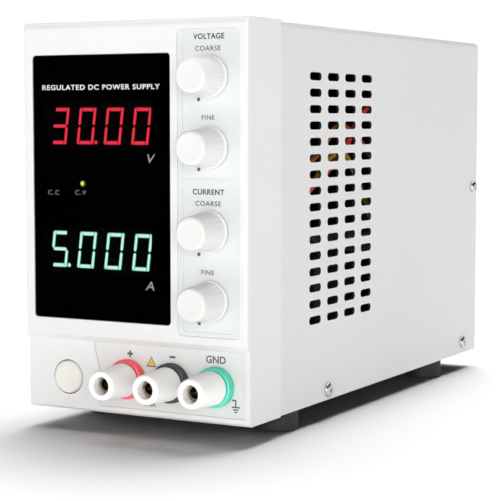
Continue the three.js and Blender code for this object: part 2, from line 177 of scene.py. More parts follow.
def powder(name, col, rough=0.42, peel=750.0):
    """Powder-coated sheet: orange peel in two sizes and a faint tone drift."""
    m, nt, bs, out = new_mat(name)
    v = coords(nt)
    vor = nt.nodes.new("ShaderNodeTexVoronoi")
    vor.feature = "SMOOTH_F1"
    vor.inputs["Scale"].default_value = peel
    nt.links.new(v, vor.inputs["Vector"])
    fine = noise(nt, v, peel * 2.2, 2.0)
    mix = nt.nodes.new("ShaderNodeMath")
    mix.operation = "MULTIPLY_ADD"
    nt.links.new(fine, mix.inputs[0])
    mix.inputs[1].default_value = 0.5
    nt.links.new(vor.outputs["Distance"], mix.inputs[2])
    big = noise(nt, v, 9.0, 3.0)
    nt.links.new(ramp(nt, big, [(0.3, tint(col, 0.975)), (0.7, tint(col, 1.01))]), bs.inputs["Base Color"])
    nt.links.new(mrange(nt, fine, 0.3, 0.7, rough - 0.05, rough + 0.06), bs.inputs["Roughness"])
    add_bump(nt, bs, mix.outputs[0], 0.10, 0.00008)
    return m


def glow(name, col, strength, core=None):
    m, nt, bs, out = new_mat(name)
    v = coords(nt)
    n = noise(nt, v, 300.0, 2.0)
    c = ramp(nt, n, [(0.2, tint(col, 0.94)), (0.8, col)])
    bs.inputs["Roughness"].default_value = 0.4
    nt.links.new(c, bs.inputs["Base Color"])
    nt.links.new(c, bs.inputs["Emission Color"])
    bs.inputs["Emission Strength"].default_value = strength
    return m


def ink(name, col, rough=0.5):
    m, nt, bs, out = new_mat(name)
    v = coords(nt)
    n = noise(nt, v, 1800.0, 2.0)
    nt.links.new(ramp(nt, n, [(0.3, tint(col, 0.93)), (0.7, tint(col, 1.05))]), bs.inputs["Base Color"])
    bs.inputs["Roughness"].default_value = rough
    return m


WHITE = (0.86, 0.85, 0.825)
M = {}
M["bezel"] = plastic("bezel_moulded_white", (0.865, 0.862, 0.852), 0.42, 1300.0, 0.10, 0.00005, 0.012)
M["cover"] = powder("cover_powder_white", (0.80, 0.80, 0.80))
# slot-wall metal: bare cut steel darkened well past its own colour, painted shade inside the vent slots
M["edge"] = metal("punched_edge_painted_shade", (0.10, 0.10, 0.105), 0.5, (1, 1, 6), 0.05, 0.2)
M["rear"] = powder("rear_powder_white", (0.78, 0.78, 0.78))
M["overlay"] = plastic("overlay_printed_film", (0.765, 0.792, 0.786), 0.46, 1700.0, 0.08, 0.00004, 0.01)
M["overlay2"] = plastic("terminal_printed_film", (0.80, 0.797, 0.78), 0.46, 1700.0, 0.08, 0.00004, 0.01)
M["knob"] = plastic("knob_satin_white", (0.85, 0.846, 0.83), 0.38, 1100.0, 0.05, 0.00004, 0.012, sss=0.05)
M["cap"] = plastic("cap_satin_white", (0.85, 0.838, 0.815), 0.36, 900.0, 0.06, 0.00004, 0.012, sss=0.05)
M["button"] = plastic("button_cream", (0.93, 0.905, 0.85), 0.4, 900.0, 0.05, 0.00004, 0.012)
M["red"] = plastic("post_red_plastic", (0.84, 0.11, 0.14), 0.38, 700.0, 0.06, 0.00005, 0.05)
M["black"] = plastic("post_black_plastic", (0.045, 0.048, 0.046), 0.42, 700.0, 0.08, 0.00006, 0.1)
M["mint"] = plastic("post_mint_plastic", (0.085, 0.60, 0.44), 0.38, 700.0, 0.06, 0.00005, 0.04)
M["rubber"] = plastic("foot_rubber", (0.028, 0.028, 0.031), 0.68, 500.0, 0.3, 0.00012, 0.2)
M["screw"] = metal("screw_nickel", (0.66, 0.655, 0.64), 0.27)
# base tray darkened far below zinc so the floor under the unit falls into deep shade: painted shade
M["zinc"] = metal("tray_darkened_painted_shade", (0.055, 0.056, 0.06), 0.5, (1, 0.06, 1))
M["steel"] = metal("shaft_steel", (0.62, 0.62, 0.63), 0.28, (1, 12, 1))
M["pot"] = metal("pot_can", (0.42, 0.43, 0.44), 0.36)
# stem brass darkened all over so the socket deep in each cap reads dark: painted shade
M["brass"] = metal("post_brass_painted_shade", (0.26, 0.215, 0.15), 0.26, (1, 6, 1))
M["nickel"] = metal("washer_nickel", (0.72, 0.70, 0.66), 0.22)
M["pin"] = metal("inlet_pin_nickel", (0.70, 0.69, 0.66), 0.25, (8, 1, 1))
M["alu"] = metal("heatsink_aluminium", (0.60, 0.61, 0.62), 0.36, (1, 1, 0.05))
M["inner_black"] = plastic("switch_housing_black", (0.022, 0.022, 0.025), 0.5, 600.0, 0.1, 0.00006, 0.12)
M["fan"] = plastic("fan_moulding_black", (0.02, 0.02, 0.022), 0.45, 500.0, 0.12, 0.00006, 0.12)
M["inlet"] = plastic("inlet_moulding_black", (0.018, 0.018, 0.02), 0.4, 900.0, 0.1, 0.00005, 0.1)
M["module"] = plastic("led_module_face", (0.006, 0.006, 0.007), 0.75, 400.0, 0.1, 0.00005, 0.1)
M["seg_off"] = plastic("segment_unlit", (0.012, 0.011, 0.011), 0.6, 400.0, 0.0, 0.0, 0.05)
M["ferrite"] = plastic("ferrite_core", (0.05, 0.047, 0.045), 0.5, 260.0, 0.3, 0.0001, 0.2)
M["tape"] = plastic("winding_tape", (0.02, 0.03, 0.085), 0.35, 300.0, 0.1, 0.00006, 0.1)
M["sleeve"] = plastic("capacitor_sleeve", (0.012, 0.03, 0.13), 0.3, 200.0, 0.05, 0.00005, 0.1, coat=0.3)
M["w_red"] = plastic("wire_red_pvc", (0.72, 0.045, 0.025), 0.35, 300.0, 0.05, 0.00005, 0.06)
M["w_orange"] = plastic("wire_orange_pvc", (0.90, 0.24, 0.03), 0.35, 300.0, 0.05, 0.00005, 0.06)
M["w_yellow"] = plastic("wire_yellow_pvc", (0.92, 0.66, 0.05), 0.35, 300.0, 0.05, 0.00005, 0.06)
M["ink"] = ink("legend_ink_dark", (0.10, 0.105, 0.115))
M["ink_white"] = ink("legend_ink_white", (0.80, 0.81, 0.82))
M["ink_amber"] = ink("legend_ink_amber", (0.90, 0.55, 0.10))
M["ink_navy"] = ink("legend_ink_navy", (0.035, 0.036, 0.07))
M["ink_grey"] = ink("legend_ink_grey", (0.30, 0.31, 0.32))
M["ink_dim"] = ink("legend_ink_dim", (0.17, 0.17, 0.19))
M["seg_red"] = glow("segment_red_lit", (0.92, 0.045, 0.085), 5.2)
# dim glow for wider copies of the lit bars: painted glow of light spilling round each digit
M["painted_red_spill"] = glow("segment_red_spill_paint", (0.40, 0.004, 0.012), 3.0)
M["seg_mint"] = glow("segment_mint_lit", (0.72, 1.0, 0.88), 5.4)
M["painted_mint_spill"] = glow("segment_mint_spill_paint", (0.04, 0.50, 0.30), 4.0)
M["lamp_on"] = glow("lamp_green_lit", (0.70, 1.0, 0.18), 6.0)
M["lamp_halo"] = glow("lamp_green_halo", (0.10, 0.22, 0.02), 3.0)
M["lamp_body"] = plastic("lamp_body_green", (0.012, 0.03, 0.008), 0.25, 300.0, 0.0, 0.0, 0.05)
M["lamp_off"] = plastic("lamp_red_unlit", (0.20, 0.012, 0.012), 0.2, 300.0, 0.0, 0.0, 0.05)


def board_material():
    """Solder mask over copper: raised tracks and a grid of plated pads."""
    m, nt, bs, out = new_mat("board_solder_mask")
    v = coords(nt)
    br = nt.nodes.new("ShaderNodeTexBrick")
    br.inputs["Scale"].default_value = 55.0
    br.inputs["Mortar Size"].default_value = 0.06
    br.offset = 0.5
    br.inputs["Color1"].default_value = (0.02, 0.13, 0.065, 1)
    br.inputs["Color2"].default_value = (0.025, 0.16, 0.08, 1)
    br.inputs["Mortar"].default_value = (0.035, 0.22, 0.11, 1)
    nt.links.new(v, br.inputs["Vector"])
    nt.links.new(br.outputs["Color"], bs.inputs["Base Color"])
    bs.inputs["Roughness"].default_value = 0.35
    add_bump(nt, bs, br.outputs["Fac"], 0.3, 0.00005)
    return m


M["board"] = board_material()


def window_material():
    """Smoked acrylic: a dark tint that lit segments shine through, with a polished face."""
    m, nt, bs, out = new_mat("window_smoked_acrylic")
    v = coords(nt)
    n = noise(nt, v, 60.0, 3.0)
    nt.links.new(ramp(nt, n, [(0.3, (0.0002, 0.0002, 0.0003)), (0.7, (0.0005, 0.0005, 0.0007))]), bs.inputs["Base Color"])
    nt.links.new(mrange(nt, n, 0.3, 0.7, 0.06, 0.09), bs.inputs["Roughness"])
    bs.inputs["Specular IOR Level"].default_value = 0.006
    bs.inputs["Alpha"].default_value = 0.60
    return m


M["window"] = window_material()
# black card, for the dust filter and for the left-wall liner that is painted shade inside the case
M["card"] = plastic("black_card_sheet", (0.012, 0.012, 0.013), 0.8, 500.0, 0.1, 0.0001, 0.05)
M["mask"] = plastic("window_back_print", (0.00025, 0.00025, 0.0003), 0.8, 900.0, 0.0, 0.0, 0.02, spec=0.0)


# ---------------------------------------------------------------- mesh helpers
def finish_mesh(me, angle=38.0):
    bm = bmesh.new()
    bm.from_mesh(me)
    bmesh.ops.remove_doubles(bm, verts=bm.verts, dist=1e-7)
    bmesh.ops.recalc_face_normals(bm, faces=bm.faces)
    bm.to_mesh(me)
    bm.free()
    for p in me.polygons:
        p.use_smooth = True
    me.set_sharp_from_angle(angle=math.radians(angle))
    me.update()


def obj(name, verts, faces, mat=None, angle=38.0, raw=False):
    """verts in mm of the working frame unless raw."""
    me = bpy.data.meshes.new(name)
    me.from_pydata([tuple(v) if raw else tuple(P(*v)) for v in verts], [], faces)
    finish_mesh(me, angle)
    o = bpy.data.objects.new(name, me)
    scene.collection.objects.link(o)
    if mat is not None:
        me.materials.append(mat)
    return o


def take_result(o, angle=38.0, weighted=True):
    """Apply the object's modifiers and keep smooth shading with sharp creases."""
    if weighted:
        w = o.modifiers.new("wn", "WEIGHTED_NORMAL")
        w.mode = "FACE_AREA"
        w.keep_sharp = True
    dg = bpy.context.evaluated_depsgraph_get()
    me = bpy.data.meshes.new_from_object(o.evaluated_get(dg), preserve_all_data_layers=True, depsgraph=dg)
    old = o.data
    o.modifiers.clear()
    o.data = me
    me.name = o.name
    bpy.data.meshes.remove(old)
    return o


def soften(o, width=0.25, seg=2, angle=30.0):
    """Round every hard edge by a small radius, then set clean normals."""
    bm = bmesh.new()
    bm.from_mesh(o.data)
    bmesh.ops.dissolve_limit(bm, angle_limit=math.radians(0.6), verts=bm.verts, edges=bm.edges)
    bm.to_mesh(o.data)
    bm.free()
    for p in o.data.polygons:
        p.use_smooth = True
    md = o.modifiers.new("bv", "BEVEL")
    md.width = width * MM
    md.segments = seg
    md.limit_method = "ANGLE"
    md.angle_limit = math.radians(angle)
    md.use_clamp_overlap = True
    md.harden_normals = False
    dg = bpy.context.evaluated_depsgraph_get()
    me = bpy.data.meshes.new_from_object(o.evaluated_get(dg), preserve_all_data_layers=True, depsgraph=dg)
    old = o.data
    o.modifiers.clear()
    o.data = me
    me.name = o.name
    bpy.data.meshes.remove(old)
    for p in me.polygons:
        p.use_smooth = True
    me.set_sharp_from_angle(angle=math.radians(48))
    return take_result(o)


SOLVERS = [i.identifier for i in bpy.types.BooleanModifier.bl_rna.properties["solver"].enum_items]
SOLVER = "MANIFOLD" if "MANIFOLD" in SOLVERS else "EXACT"


def boolean(o, tools, op="DIFFERENCE", solver=None):
    """Join the tools into one mesh and apply them to o."""
    bm = bmesh.new()
    for t in tools:
        bm.from_mesh(t.data)
    me = bpy.data.meshes.new("tool")
    bm.to_mesh(me)
    bm.free()
    for t in tools:
        d = t.data
        bpy.data.objects.remove(t)
        bpy.data.meshes.remove(d)
    k = bpy.data.objects.new("tool", me)
    scene.collection.objects.link(k)
    md = o.modifiers.new("b", "BOOLEAN")
    md.operation = op
    md.object = k
    md.solver = solver or SOLVER
    dg = bpy.context.evaluated_depsgraph_get()
    res = bpy.data.meshes.new_from_object(o.evaluated_get(dg), preserve_all_data_layers=True, depsgraph=dg)
    if len(res.polygons) < 4:
        md.solver = "EXACT"
        dg = bpy.context.evaluated_depsgraph_get()
        res = bpy.data.meshes.new_from_object(o.evaluated_get(dg), preserve_all_data_layers=True, depsgraph=dg)
    old = o.data
    o.modifiers.clear()
    o.data = res
    bpy.data.meshes.remove(old)
    bpy.data.objects.remove(k)
    bpy.data.meshes.remove(me)
    return o


def prism(name, pts, axis, h0, h1, mat=None):
    """Closed prism from a 2D outline: y takes (x, z), x takes (y, z), z takes (x, y)."""
    n = len(pts)
    def at(u, v, h):
        return {"y": (u, h, v), "x": (h, u, v), "z": (u, v, h)}[axis]
    verts = [at(u, v, h0) for u, v in pts] + [at(u, v, h1) for u, v in pts]
    faces = [tuple(range(n)), tuple(range(2 * n - 1, n - 1, -1))]
    faces += [(i, (i + 1) % n, n + (i + 1) % n, n + i) for i in range(n)]
    return obj(name, verts, faces, mat)


def block(name, x0, x1, y0, y1, z0, z1, mat=None):
    return prism(name, [(x0, z0), (x1, z0), (x1, z1), (x0, z1)], "y", y0, y1, mat)


def rrect(x0, x1, z0, z1, r, n=8):
    pts = []
    for cx, cz, a0 in ((x1 - r, z0 + r, -90), (x1 - r, z1 - r, 0), (x0 + r, z1 - r, 90), (x0 + r, z0 + r, 180)):
        for i in range(n + 1):
            a = math.radians(a0 + 90.0 * i / n)
            pts.append((cx + r * math.cos(a), cz + r * math.sin(a)))
    return pts


def circle(cx, cz, r, n=48, start=0.0):
    return [(cx + r * math.cos(start + 2 * math.pi * i / n), cz + r * math.sin(start + 2 * math.pi * i / n)) for i in range(n)]


def stadium(cu, cv, length, h, n=8):
    r = h / 2
    k = length / 2 - r
    pts = []
    for s, a0 in ((1, -90), (-1, 90)):
        for i in range(n + 1):
            a = math.radians(a0 + 180.0 * i / n)
            pts.append((cu + s * k + r * math.cos(a), cv + r * math.sin(a)))
    return pts


def arc(cx, cy, r, a0, a1, n):
    """Profile points on an arc, degrees."""
    return [(cx + r * math.cos(math.radians(a0 + (a1 - a0) * i / n)),
             cy + r * math.sin(math.radians(a0 + (a1 - a0) * i / n))) for i in range(n + 1)]


def lathe(name, profile, axis, a, b, seg=64, mat=None, wave=None, angle=38.0):
    """Revolve [(radius, height)] about an axis; wave(theta, i) gives a radius offset."""
    closed = (abs(profile[0][0] - profile[-1][0]) < 1e-9 and abs(profile[0][1] - profile[-1][1]) < 1e-9
              and profile[0][0] > 1e-6)
    pr = profile[:-1] if closed else profile
    verts, rows = [], []
    def at(r, h, t):
        c, s = r * math.cos(t), r * math.sin(t)
        return {"y": (a + c, h, b + s), "z": (a + c, b + s, h), "x": (h, a + c, b + s)}[axis]
    for i, (r, h) in enumerate(pr):
        if r < 1e-6:
            rows.append([len(verts)])
            verts.append(at(0, h, 0))
            continue
        row = []
        for k in range(seg):
            t = 2 * math.pi * k / seg
            rr = r + (wave(t, i) if wave else 0.0)
            row.append(len(verts))
            verts.append(at(rr, h, t))
        rows.append(row)
    faces = []
    pairs = list(zip(rows, rows[1:])) + ([(rows[-1], rows[0])] if closed else [])
    for A, B in pairs:
        if len(A) == 1 and len(B) == 1:
            continue
        for k in range(seg):
            k2 = (k + 1) % seg
            if len(A) == 1:
                faces.append((A[0], B[k], B[k2]))
            elif len(B) == 1:
                faces.append((A[k], B[0], A[k2]))
            else:
                faces.append((A[k], B[k], B[k2], A[k2]))
    return obj(name, verts, faces, mat, angle)


def rod(name, axis, r, h0, h1, a, b, seg=48, mat=None):
    return lathe(name, [(0, h0), (r, h0), (r, h1), (0, h1)], axis, a, b, seg, mat)


def place(o, body, node=None):
    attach(o, body)
    if node:
        nodes = node if isinstance(node, (list, tuple)) else [node]
        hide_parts(*nodes)
    return o


def join(name, parts):
    """One piece from several meshes, each keeping its own material."""
    bm = bmesh.new()
    mats = []
    for p in parts:
        base = len(mats)
        mats += [s for s in p.data.materials]
        n0 = len(bm.faces)
        bm.from_mesh(p.data)
        bm.faces.ensure_lookup_table()
        for f in bm.faces[n0:]:
            f.material_index += base
    me = bpy.data.meshes.new(name)
    bm.to_mesh(me)
    bm.free()
    sharp = []
    for p in parts:
        d = p.data
        bpy.data.objects.remove(p)
        bpy.data.meshes.remove(d)
    for m_ in mats:
        me.materials.append(m_)
    for p in me.polygons:
        p.use_smooth = True
    me.set_sharp_from_angle(angle=math.radians(40))
    o = bpy.data.objects.new(name, me)
    scene.collection.objects.link(o)
    return o


def text_mesh(name, body, size, x, z, yface, mat, align="CENTER", stretch=1.0, shear=0.0, bold=0.0, depth=0.02, spacing=1.0):
    """Thin raised printing that faces the front; yface is the surface it lies on."""
    cu = bpy.data.curves.new(name, "FONT")
    cu.body = body
    cu.size = size
    cu.align_x = align
    cu.align_y = "CENTER"
    cu.extrude = depth / 2
    cu.offset = bold
    cu.shear = shear
    cu.space_character = spacing
    cu.resolution_u = 4
    t = bpy.data.objects.new(name, cu)
    scene.collection.objects.link(t)
    dg = bpy.context.evaluated_depsgraph_get()
    me = bpy.data.meshes.new_from_object(t.evaluated_get(dg))
    bpy.data.objects.remove(t)
    bpy.data.curves.remove(cu)
    ys = [v.co.y for v in me.vertices]
    zc = (min(ys) + max(ys)) / 2
    for v in me.vertices:
        px, pz, pd = v.co.x * stretch, v.co.y - zc, v.co.z
        v.co = P(x + px, yface - depth / 2 - pd, z + pz)
    bm = bmesh.new()
    bm.from_mesh(me)
    bmesh.ops.remove_doubles(bm, verts=bm.verts, dist=1e-8)
    bmesh.ops.recalc_face_normals(bm, faces=bm.faces)
    bm.to_mesh(me)
    bm.free()
    me.materials.clear()
    me.materials.append(mat)
    o = bpy.data.objects.new(name, me)
    scene.collection.objects.link(o)
    place(o, "case")
    return o


def decal(name, polys, yface, mat, depth=0.02):
    """Flat printed shapes on a front face, each a closed thin prism."""
    parts = [prism("d", p, "y", yface - depth, yface, mat) for p in polys]
    return place(join(name, parts), "case")


# ---------------------------------------------------------------- key figures
H, W = nbox("front_bezel")[1][2], nbox("front_bezel")[1][0]
BD = nbox("front_bezel")[1][1]
STEP = 2.2
wlo, whi = nbox("display_window")
klo, khi = nbox("control_panel")
tlo, thi = nbox("terminal_panel")
KNOBS = ["voltage_coarse", "voltage_fine", "current_coarse", "current_fine"]
KC = [centre(k + "_shaft") for k in KNOBS]
POSTS = ["positive", "negative", "ground"]
PC = [centre(p + "_post_cap") for p in POSTS]
BC = centre("power_button")


# ---------------------------------------------------------------- moulded front
def build_bezel():
    side = [(STEP, 0.9), (STEP, 27.0)]
    side += [(STEP * (1 - t), 27.0 + 2.3 * t) for t in (0.999,)]
    top = arc(3.0, H - 3.0, 3.0, 180, 90, 10)
    side = [(STEP, 0.9), (STEP, 27.0), (0, 29.3)] + top + [(BD, H), (BD, 0), (STEP + 0.9, 0)]
    o = prism("front_bezel_shell", side, "x", 0, W, M["bezel"])
    c = 1.2
    plan = [(0, BD + 1), (0, c)] + arc(c, c, c, 180, 270, 6) + arc(W - c, c, c, 270, 360, 6) + [(W, c), (W, BD + 1)]
    tool = prism("t", plan, "z", -2, H + 2)
    boolean(o, [tool], "INTERSECT")
    cav = [block("t", 2.2, W - 2.2, 2.9, BD + 1, 30.6, H - 2.2)]
    boolean(o, cav)
    boolean(o, [block("t", 2.2, W - 2.2, 5.0, BD + 1, 2.2, 30.7)])
    boolean(o, [prism("t", rrect(wlo[0] - 0.16, whi[0] + 0.16, wlo[2] - 0.16, whi[2] + 0.16, 1.5), "y", -1, 1.95),
                prism("t", rrect(klo[0] - 0.2, khi[0] + 0.2, klo[2] - 0.2, khi[2] + 0.2, 1.7), "y", -1, 1.30)])
    boolean(o, [prism("t", rrect(7.2, 63.5, 38.2, 133.0, 1.0, 4), "y", 1, 4)]
            + [rod("t", "y", 3.9, 0, 6, c_[0], c_[2], 40) for c_ in KC])
    term = [(33.0, 2.6), (96.2, 2.6), (96.2, 27.2), (30.2, 27.2), (30.45, 24.5), (30.9, 22.2), (31.7, 20.1), (32.2, 18.0), (32.45, 15.5),
            (32.6, 10.0), (32.6, 3.0)]
    boolean(o, [prism("t", term, "y", 1, 3.2)])
    boolean(o, [rod("t", "y", 4.8, 1, 8, c_[0], c_[2], 40) for c_ in PC]
            + [rod("t", "y", BC_R + 0.4, 1, 8, BC[0], BC[2], 72)])
    soften(o, 0.22, 2, 28)
    bosses = [lathe("b", [(0, 2.4), (2.2, 2.4), (2.2, 10.9), (1.9, 11.2), (0.9, 11.2), (0.8, 8.0), (0, 8.0)], "y", x, z, 24, M["bezel"])
              for x, z in ((5.4, 33.9), (66.6, 33.9), (5.4, 138.2), (66.6, 138.2))]
    o = join("front_bezel_moulding", [o] + bosses)
    take_result(o)
    place(o, "case", "front_bezel")


blo, bhi = nbox("power_button")
BC_R = (bhi[0] - blo[0]) / 2
build_bezel()


def build_window():
    r = rrect(wlo[0], whi[0], wlo[2], whi[2], 1.4, 10)
    o = prism("display_window_plate", r, "y", wlo[1], whi[1], M["window"])
    soften(o, 0.18, 2, 30)
    place(o, "case", "display_window")
    # black border printed just under the face, then a full print on the back, open for the digits and the lamps
    y0 = wlo[1] + 0.10
    m = prism("window_border_print", rrect(wlo[0] + 0.10, whi[0] - 0.10, wlo[2] + 0.10, whi[2] - 0.10, 1.35, 10), "y", y0, y0 + 0.06, M["mask"])
    boolean(m, [prism("t", rrect(wlo[0] + 3.2, whi[0] - 3.2, wlo[2] + 3.2, whi[2] - 3.2, 1.2, 8), "y", y0 - 1, y0 + 1)])
    place(m, "case")
    y0 = whi[1] - 0.14
    m = prism("window_mask_print", rrect(wlo[0] + 0.10, whi[0] - 0.10, wlo[2] + 0.10, whi[2] - 0.10, 1.35, 10), "y", y0, y0 + 0.06, M["mask"])
    tools = []
    for n_ in ("voltage_display", "current_display"):
        a_, b_ = nbox(n_)
        tools.append(prism("t", rrect(a_[0] + 2.2, b_[0] - 0.3, a_[2] + 0.5, b_[2] - 0.5, 0.8, 6), "y", y0 - 1, y0 + 1))
    for n_, rad in (("constant_current_lamp", 0.9), ("constant_voltage_lamp", 1.5)):
        c_ = centre(n_)
        tools.append(prism("t", circle(c_[0] + 0.3 * (nbox(n_)[0][1] - y0), c_[2], rad, 28), "y", y0 - 1, y0 + 1))
    boolean(m, tools)
    place(m, "case")


build_window()


def build_control_panel():
    g = 0.14
    o = prism("control_panel_plate", rrect(klo[0] - g, khi[0] + g, klo[2] - g, khi[2] + g, 1.6), "y", klo[1], khi[1], M["overlay"])
    fields = [prism("t", rrect(71.0, 93.0, 89.7, 142.3, 1.2), "y", 0, klo[1] + 0.35),
              prism("t", rrect(71.0, 93.0, 33.8, 86.7, 1.2), "y", 0, klo[1] + 0.35)]
    boolean(o, fields)
    boolean(o, [rod("t", "y", 3.9, 0, 2, c_[0], c_[2], 40) for c_ in KC])
    soften(o, 0.12, 2, 30)
    place(o, "case", "control_panel")


build_control_panel()


def build_terminal_panel():
    term = [(33.1, 2.72), (96.08, 2.72), (96.08, 27.08), (30.33, 27.08), (30.6, 24.5), (31.05, 22.3), (31.85, 20.2), (32.35, 18.1),
            (32.6, 15.5), (32.74, 10.0), (32.74, 3.1)]
    o = prism("terminal_panel_plate", term, "y", tlo[1], thi[1], M["overlay2"])
    boolean(o, [rod("t", "y", 4.8, 1, 8, c_[0], c_[2], 40) for c_ in PC])
    soften(o, 0.1, 2, 25)
    place(o, "case", "terminal_panel")


build_terminal_panel()


# ---------------------------------------------------------------- cover
def paint_slot_wall_shade(o, test):
    """Slot walls in near-black metal: the bare cut edges of sheet coated before it was punched, darkened far below bare
    steel as painted shade inside the slots.
    """
    me = o.data
    me.materials.append(M["edge"])
    k = len(me.materials) - 1
    for p in me.polygons:
        c = Vector(((p.center.x - ORG.x) / MM, (p.center.y - ORG.y) / MM, (p.center.z - ORG.z) / MM))
        if test(c, p.normal):
            p.material_index = k


VENT = dict(y0=55.7, dy=15.69, nx=4, z0=127.9, dz=6.3, nz=16, length=10.1, h=3.15)
SCREWS = {"lower_front": None, "lower_rear": None, "upper_rear": None}


def build_cover():
    clo, chi = nbox("top_cover")
    x0, x1, z0, z1 = clo[0], chi[0], clo[2], chi[2]
    R, t = 2.4, 1.0
    outer = [(x0, z0)] + arc(x0 + R, z1 - R, R, 180, 90, 10) + arc(x1 - R, z1 - R, R, 90, 0, 10) + [(x1, z0)]
    inner = [(x1 - t, z0)] + arc(x1 - R, z1 - R, R - t, 0, 90, 8) + arc(x0 + R, z1 - R, R - t, 90, 180, 8) + [(x0 + t, z0)]
    o = prism("top_cover_sheet", outer + inner, "y", clo[1], chi[1], M["cover"])
    n = 7
    for side in (0, 1):
        tools = []
        for j in range(VENT["nx"]):
            for i in range(VENT["nz"]):
                pts = stadium(VENT["y0"] + j * VENT["dy"], VENT["z0"] - i * VENT["dz"], VENT["length"], VENT["h"], n)
                tools.append(prism("t", pts, "x", -3 if side == 0 else W - 8, 8 if side == 0 else W + 3))
        for s in SCREWS:
            c_ = centre(f"screw_{s}_{'left' if side == 0 else 'right'}")
            tools.append(prism("t", circle(c_[1], c_[2], 1.75, 24), "x", -3 if side == 0 else W - 8, 8 if side == 0 else W + 3))
        boolean(o, tools)
    soften(o, 0.16, 2, 30)
    # vent slot walls take the near-black edge colour: painted shade
    paint_slot_wall_shade(o, lambda c, n: abs(n.x) < 0.45 and 48 < c.y < 110 and 28 < c.z < 132)
    place(o, "case", "top_cover")


build_cover()


def build_shade_liner():
    """Near-black card against the left wall, its edges folded in: a dark sheet that stands in as painted shade, so the
    inside looks dark through the vents.
    """
    lo_, hi_ = nbox("top_cover")
    x = lo_[0] + 1.05
    o = prism("left_wall_shade_card", [(x, 26.0), (x + 0.35, 26.0), (x + 0.35, 137.6), (x + 5.6, 138.9), (x + 5.5, 139.25), (x, 137.9)], "y", 42.0, 118.0, M["card"])
    place(o, "case")


build_shade_liner()


def build_rear_panel():
    lo_, hi_ = nbox("rear_panel")
    x0, x1, z0, z1 = lo_[0], hi_[0], lo_[2], hi_[2]
    y1 = hi_[1]
    y0 = y1 - 1.0
    k0 = 1.6
    o = prism("rear_panel_sheet", [(x0, z0), (x1, z0), (x1, z1 - k0), (x1 - k0, z1), (x0 + k0, z1), (x0, z1 - k0)], "y", y0, y1, M["rear"])
    fl = [block("f", x0, x0 + 1, lo_[1], y1 - 0.2, 14, H - 6), block("f", x1 - 1, x1, lo_[1], y1 - 0.2, 14, H - 6)]
    boolean(o, fl, "UNION")
    fc = centre("fan_rotor")
    ilo, ihi = nbox("mains_inlet")
    ic = centre("mains_inlet")
    tools = []
    dz, R = 6.4, 37
    for k in range(-5, 6):
        half = math.sqrt(R * R - (abs(k) * dz + 1.5) ** 2)
        ln = half - 2.5
        if ln < 6:
            continue
        for s in (-1, 1):
            tools.append(prism("t", stadium(49 + s * (2.5 + ln / 2), 98 + k * dz, ln, 3.4, 7), "y", y0 - 1, y1 + 1))
    tools.append(prism("t", rrect(ic[0] - 14.0, ic[0] + 14.0, 33 - 15.3, 33 + 13.0, 1, 4), "y", y0 - 1, y1 + 1))
    for s, xx in (("left", (-2, 6)), ("right", (W - 6, W + 2))):
        c_ = centre(f"screw_upper_rear_{s}")
        tools.append(prism("t", circle(c_[1], c_[2], 1.75, 24), "x", xx[0], xx[1]))
    boolean(o, tools)
    soften(o, 0.15, 2, 30)
    # grille slot walls take the near-black edge colour: painted shade
    paint_slot_wall_shade(o, lambda c, n: abs(n.y) < 0.45 and 10 < c.x < 88 and 16 < c.z < 136)
    place(o, "case", "rear_panel")


build_rear_panel()


# ---------------------------------------------------------------- feet
def build_foot(tag):
    lo_, hi_ = nbox("foot_" + tag)
    cx, cy = (lo_[0] + hi_[0]) / 2, (lo_[1] + hi_[1]) / 2
    zb = lo_[2]
    R = (hi_[0] - lo_[0]) / 2
    prof = [(0, zb + 2.6), (3.2, zb + 2.6), (3.2, zb + 0.4)] + arc(3.6, zb + 0.4, 0.4, 180, 270, 4)
    prof += [(4.9, zb), (5.1, zb + 0.35), (5.5, zb + 0.35), (5.7, zb)]
    prof += arc(R - 0.9, zb + 0.9, 0.9, 270, 360, 6) + [(R - 0.12, zb + 4.0)] + arc(R - 0.7, -0.3 - 0.6, 0.6, 0, 90, 5)
    prof += [(2.1, -0.3), (2.1, 1.2), (2.55, 1.35), (1.9, 2.4), (0, 2.4)]
    prof = [p if not (p[0] > 2.3 and p[1] > 0.5) else (2.1, p[1]) for p in prof]
    o = lathe(f"foot_{tag}_pad", prof, "z", cx, cy, 72, M["rubber"], angle=42)
    place(o, "case", "foot_" + tag)


for t_ in ("front_left", "front_right", "rear_left", "rear_right"):
    build_foot(t_)


# ---------------------------------------------------------------- cover screws
def build_screw(tag, side, turn):
    lo_, hi_ = nbox(f"screw_{tag}_{side}")
    cy, cz = (lo_[1] + hi_[1]) / 2, (lo_[2] + hi_[2]) / 2
    s = 1 if side == "right" else -1
    head = hi_[0] if side == "right" else lo_[0]
    face = head - s * 1.5
    R = (hi_[1] - lo_[1]) / 2
    # domed pan head and a plain shank, heights measured outward from the sheet
    dome = [(R, 0), (R, 0.45)] + [(R * math.cos(math.radians(a)) * 0.985, 0.45 + 1.03 * math.sin(math.radians(a))) for a in (12, 26, 40, 54, 68, 80)] + [(0, 1.5)]
    prof = [(0, -5.2), (0.9, -5.2), (1.4, -4.7), (1.4, 0)] + dome
    o = lathe("s", [(r, face + s * h) for r, h in prof], "x", cy, cz, 48, M["screw"], angle=35)
    cuts = []
    for k in range(2):
        a = turn + k * math.pi / 2
        ca, sa = math.cos(a), math.sin(a)
        pts = []
        for u, v in ((-1.45, -0.33), (1.45, -0.33), (1.45, 0.33), (-1.45, 0.33)):
            pts.append((cy + u * ca - v * sa, cz + u * sa + v * ca))
        h0, h1 = face + s * 0.55, face + s * 3.0
        cuts.append(prism("t", pts, "x", min(h0, h1), max(h0, h1)))
    boolean(o, cuts[:1])
    boolean(o, cuts[1:])
    soften(o, 0.06, 2, 35)
    o.name = f"screw_{tag}_{side}_panhead"
    place(o, "case", f"screw_{tag}_{side}")


for i_, t_ in enumerate(SCREWS):
    build_screw(t_, "right", 0.35 + 0.8 * i_)
    build_screw(t_, "left", 0.9 + 0.5 * i_)


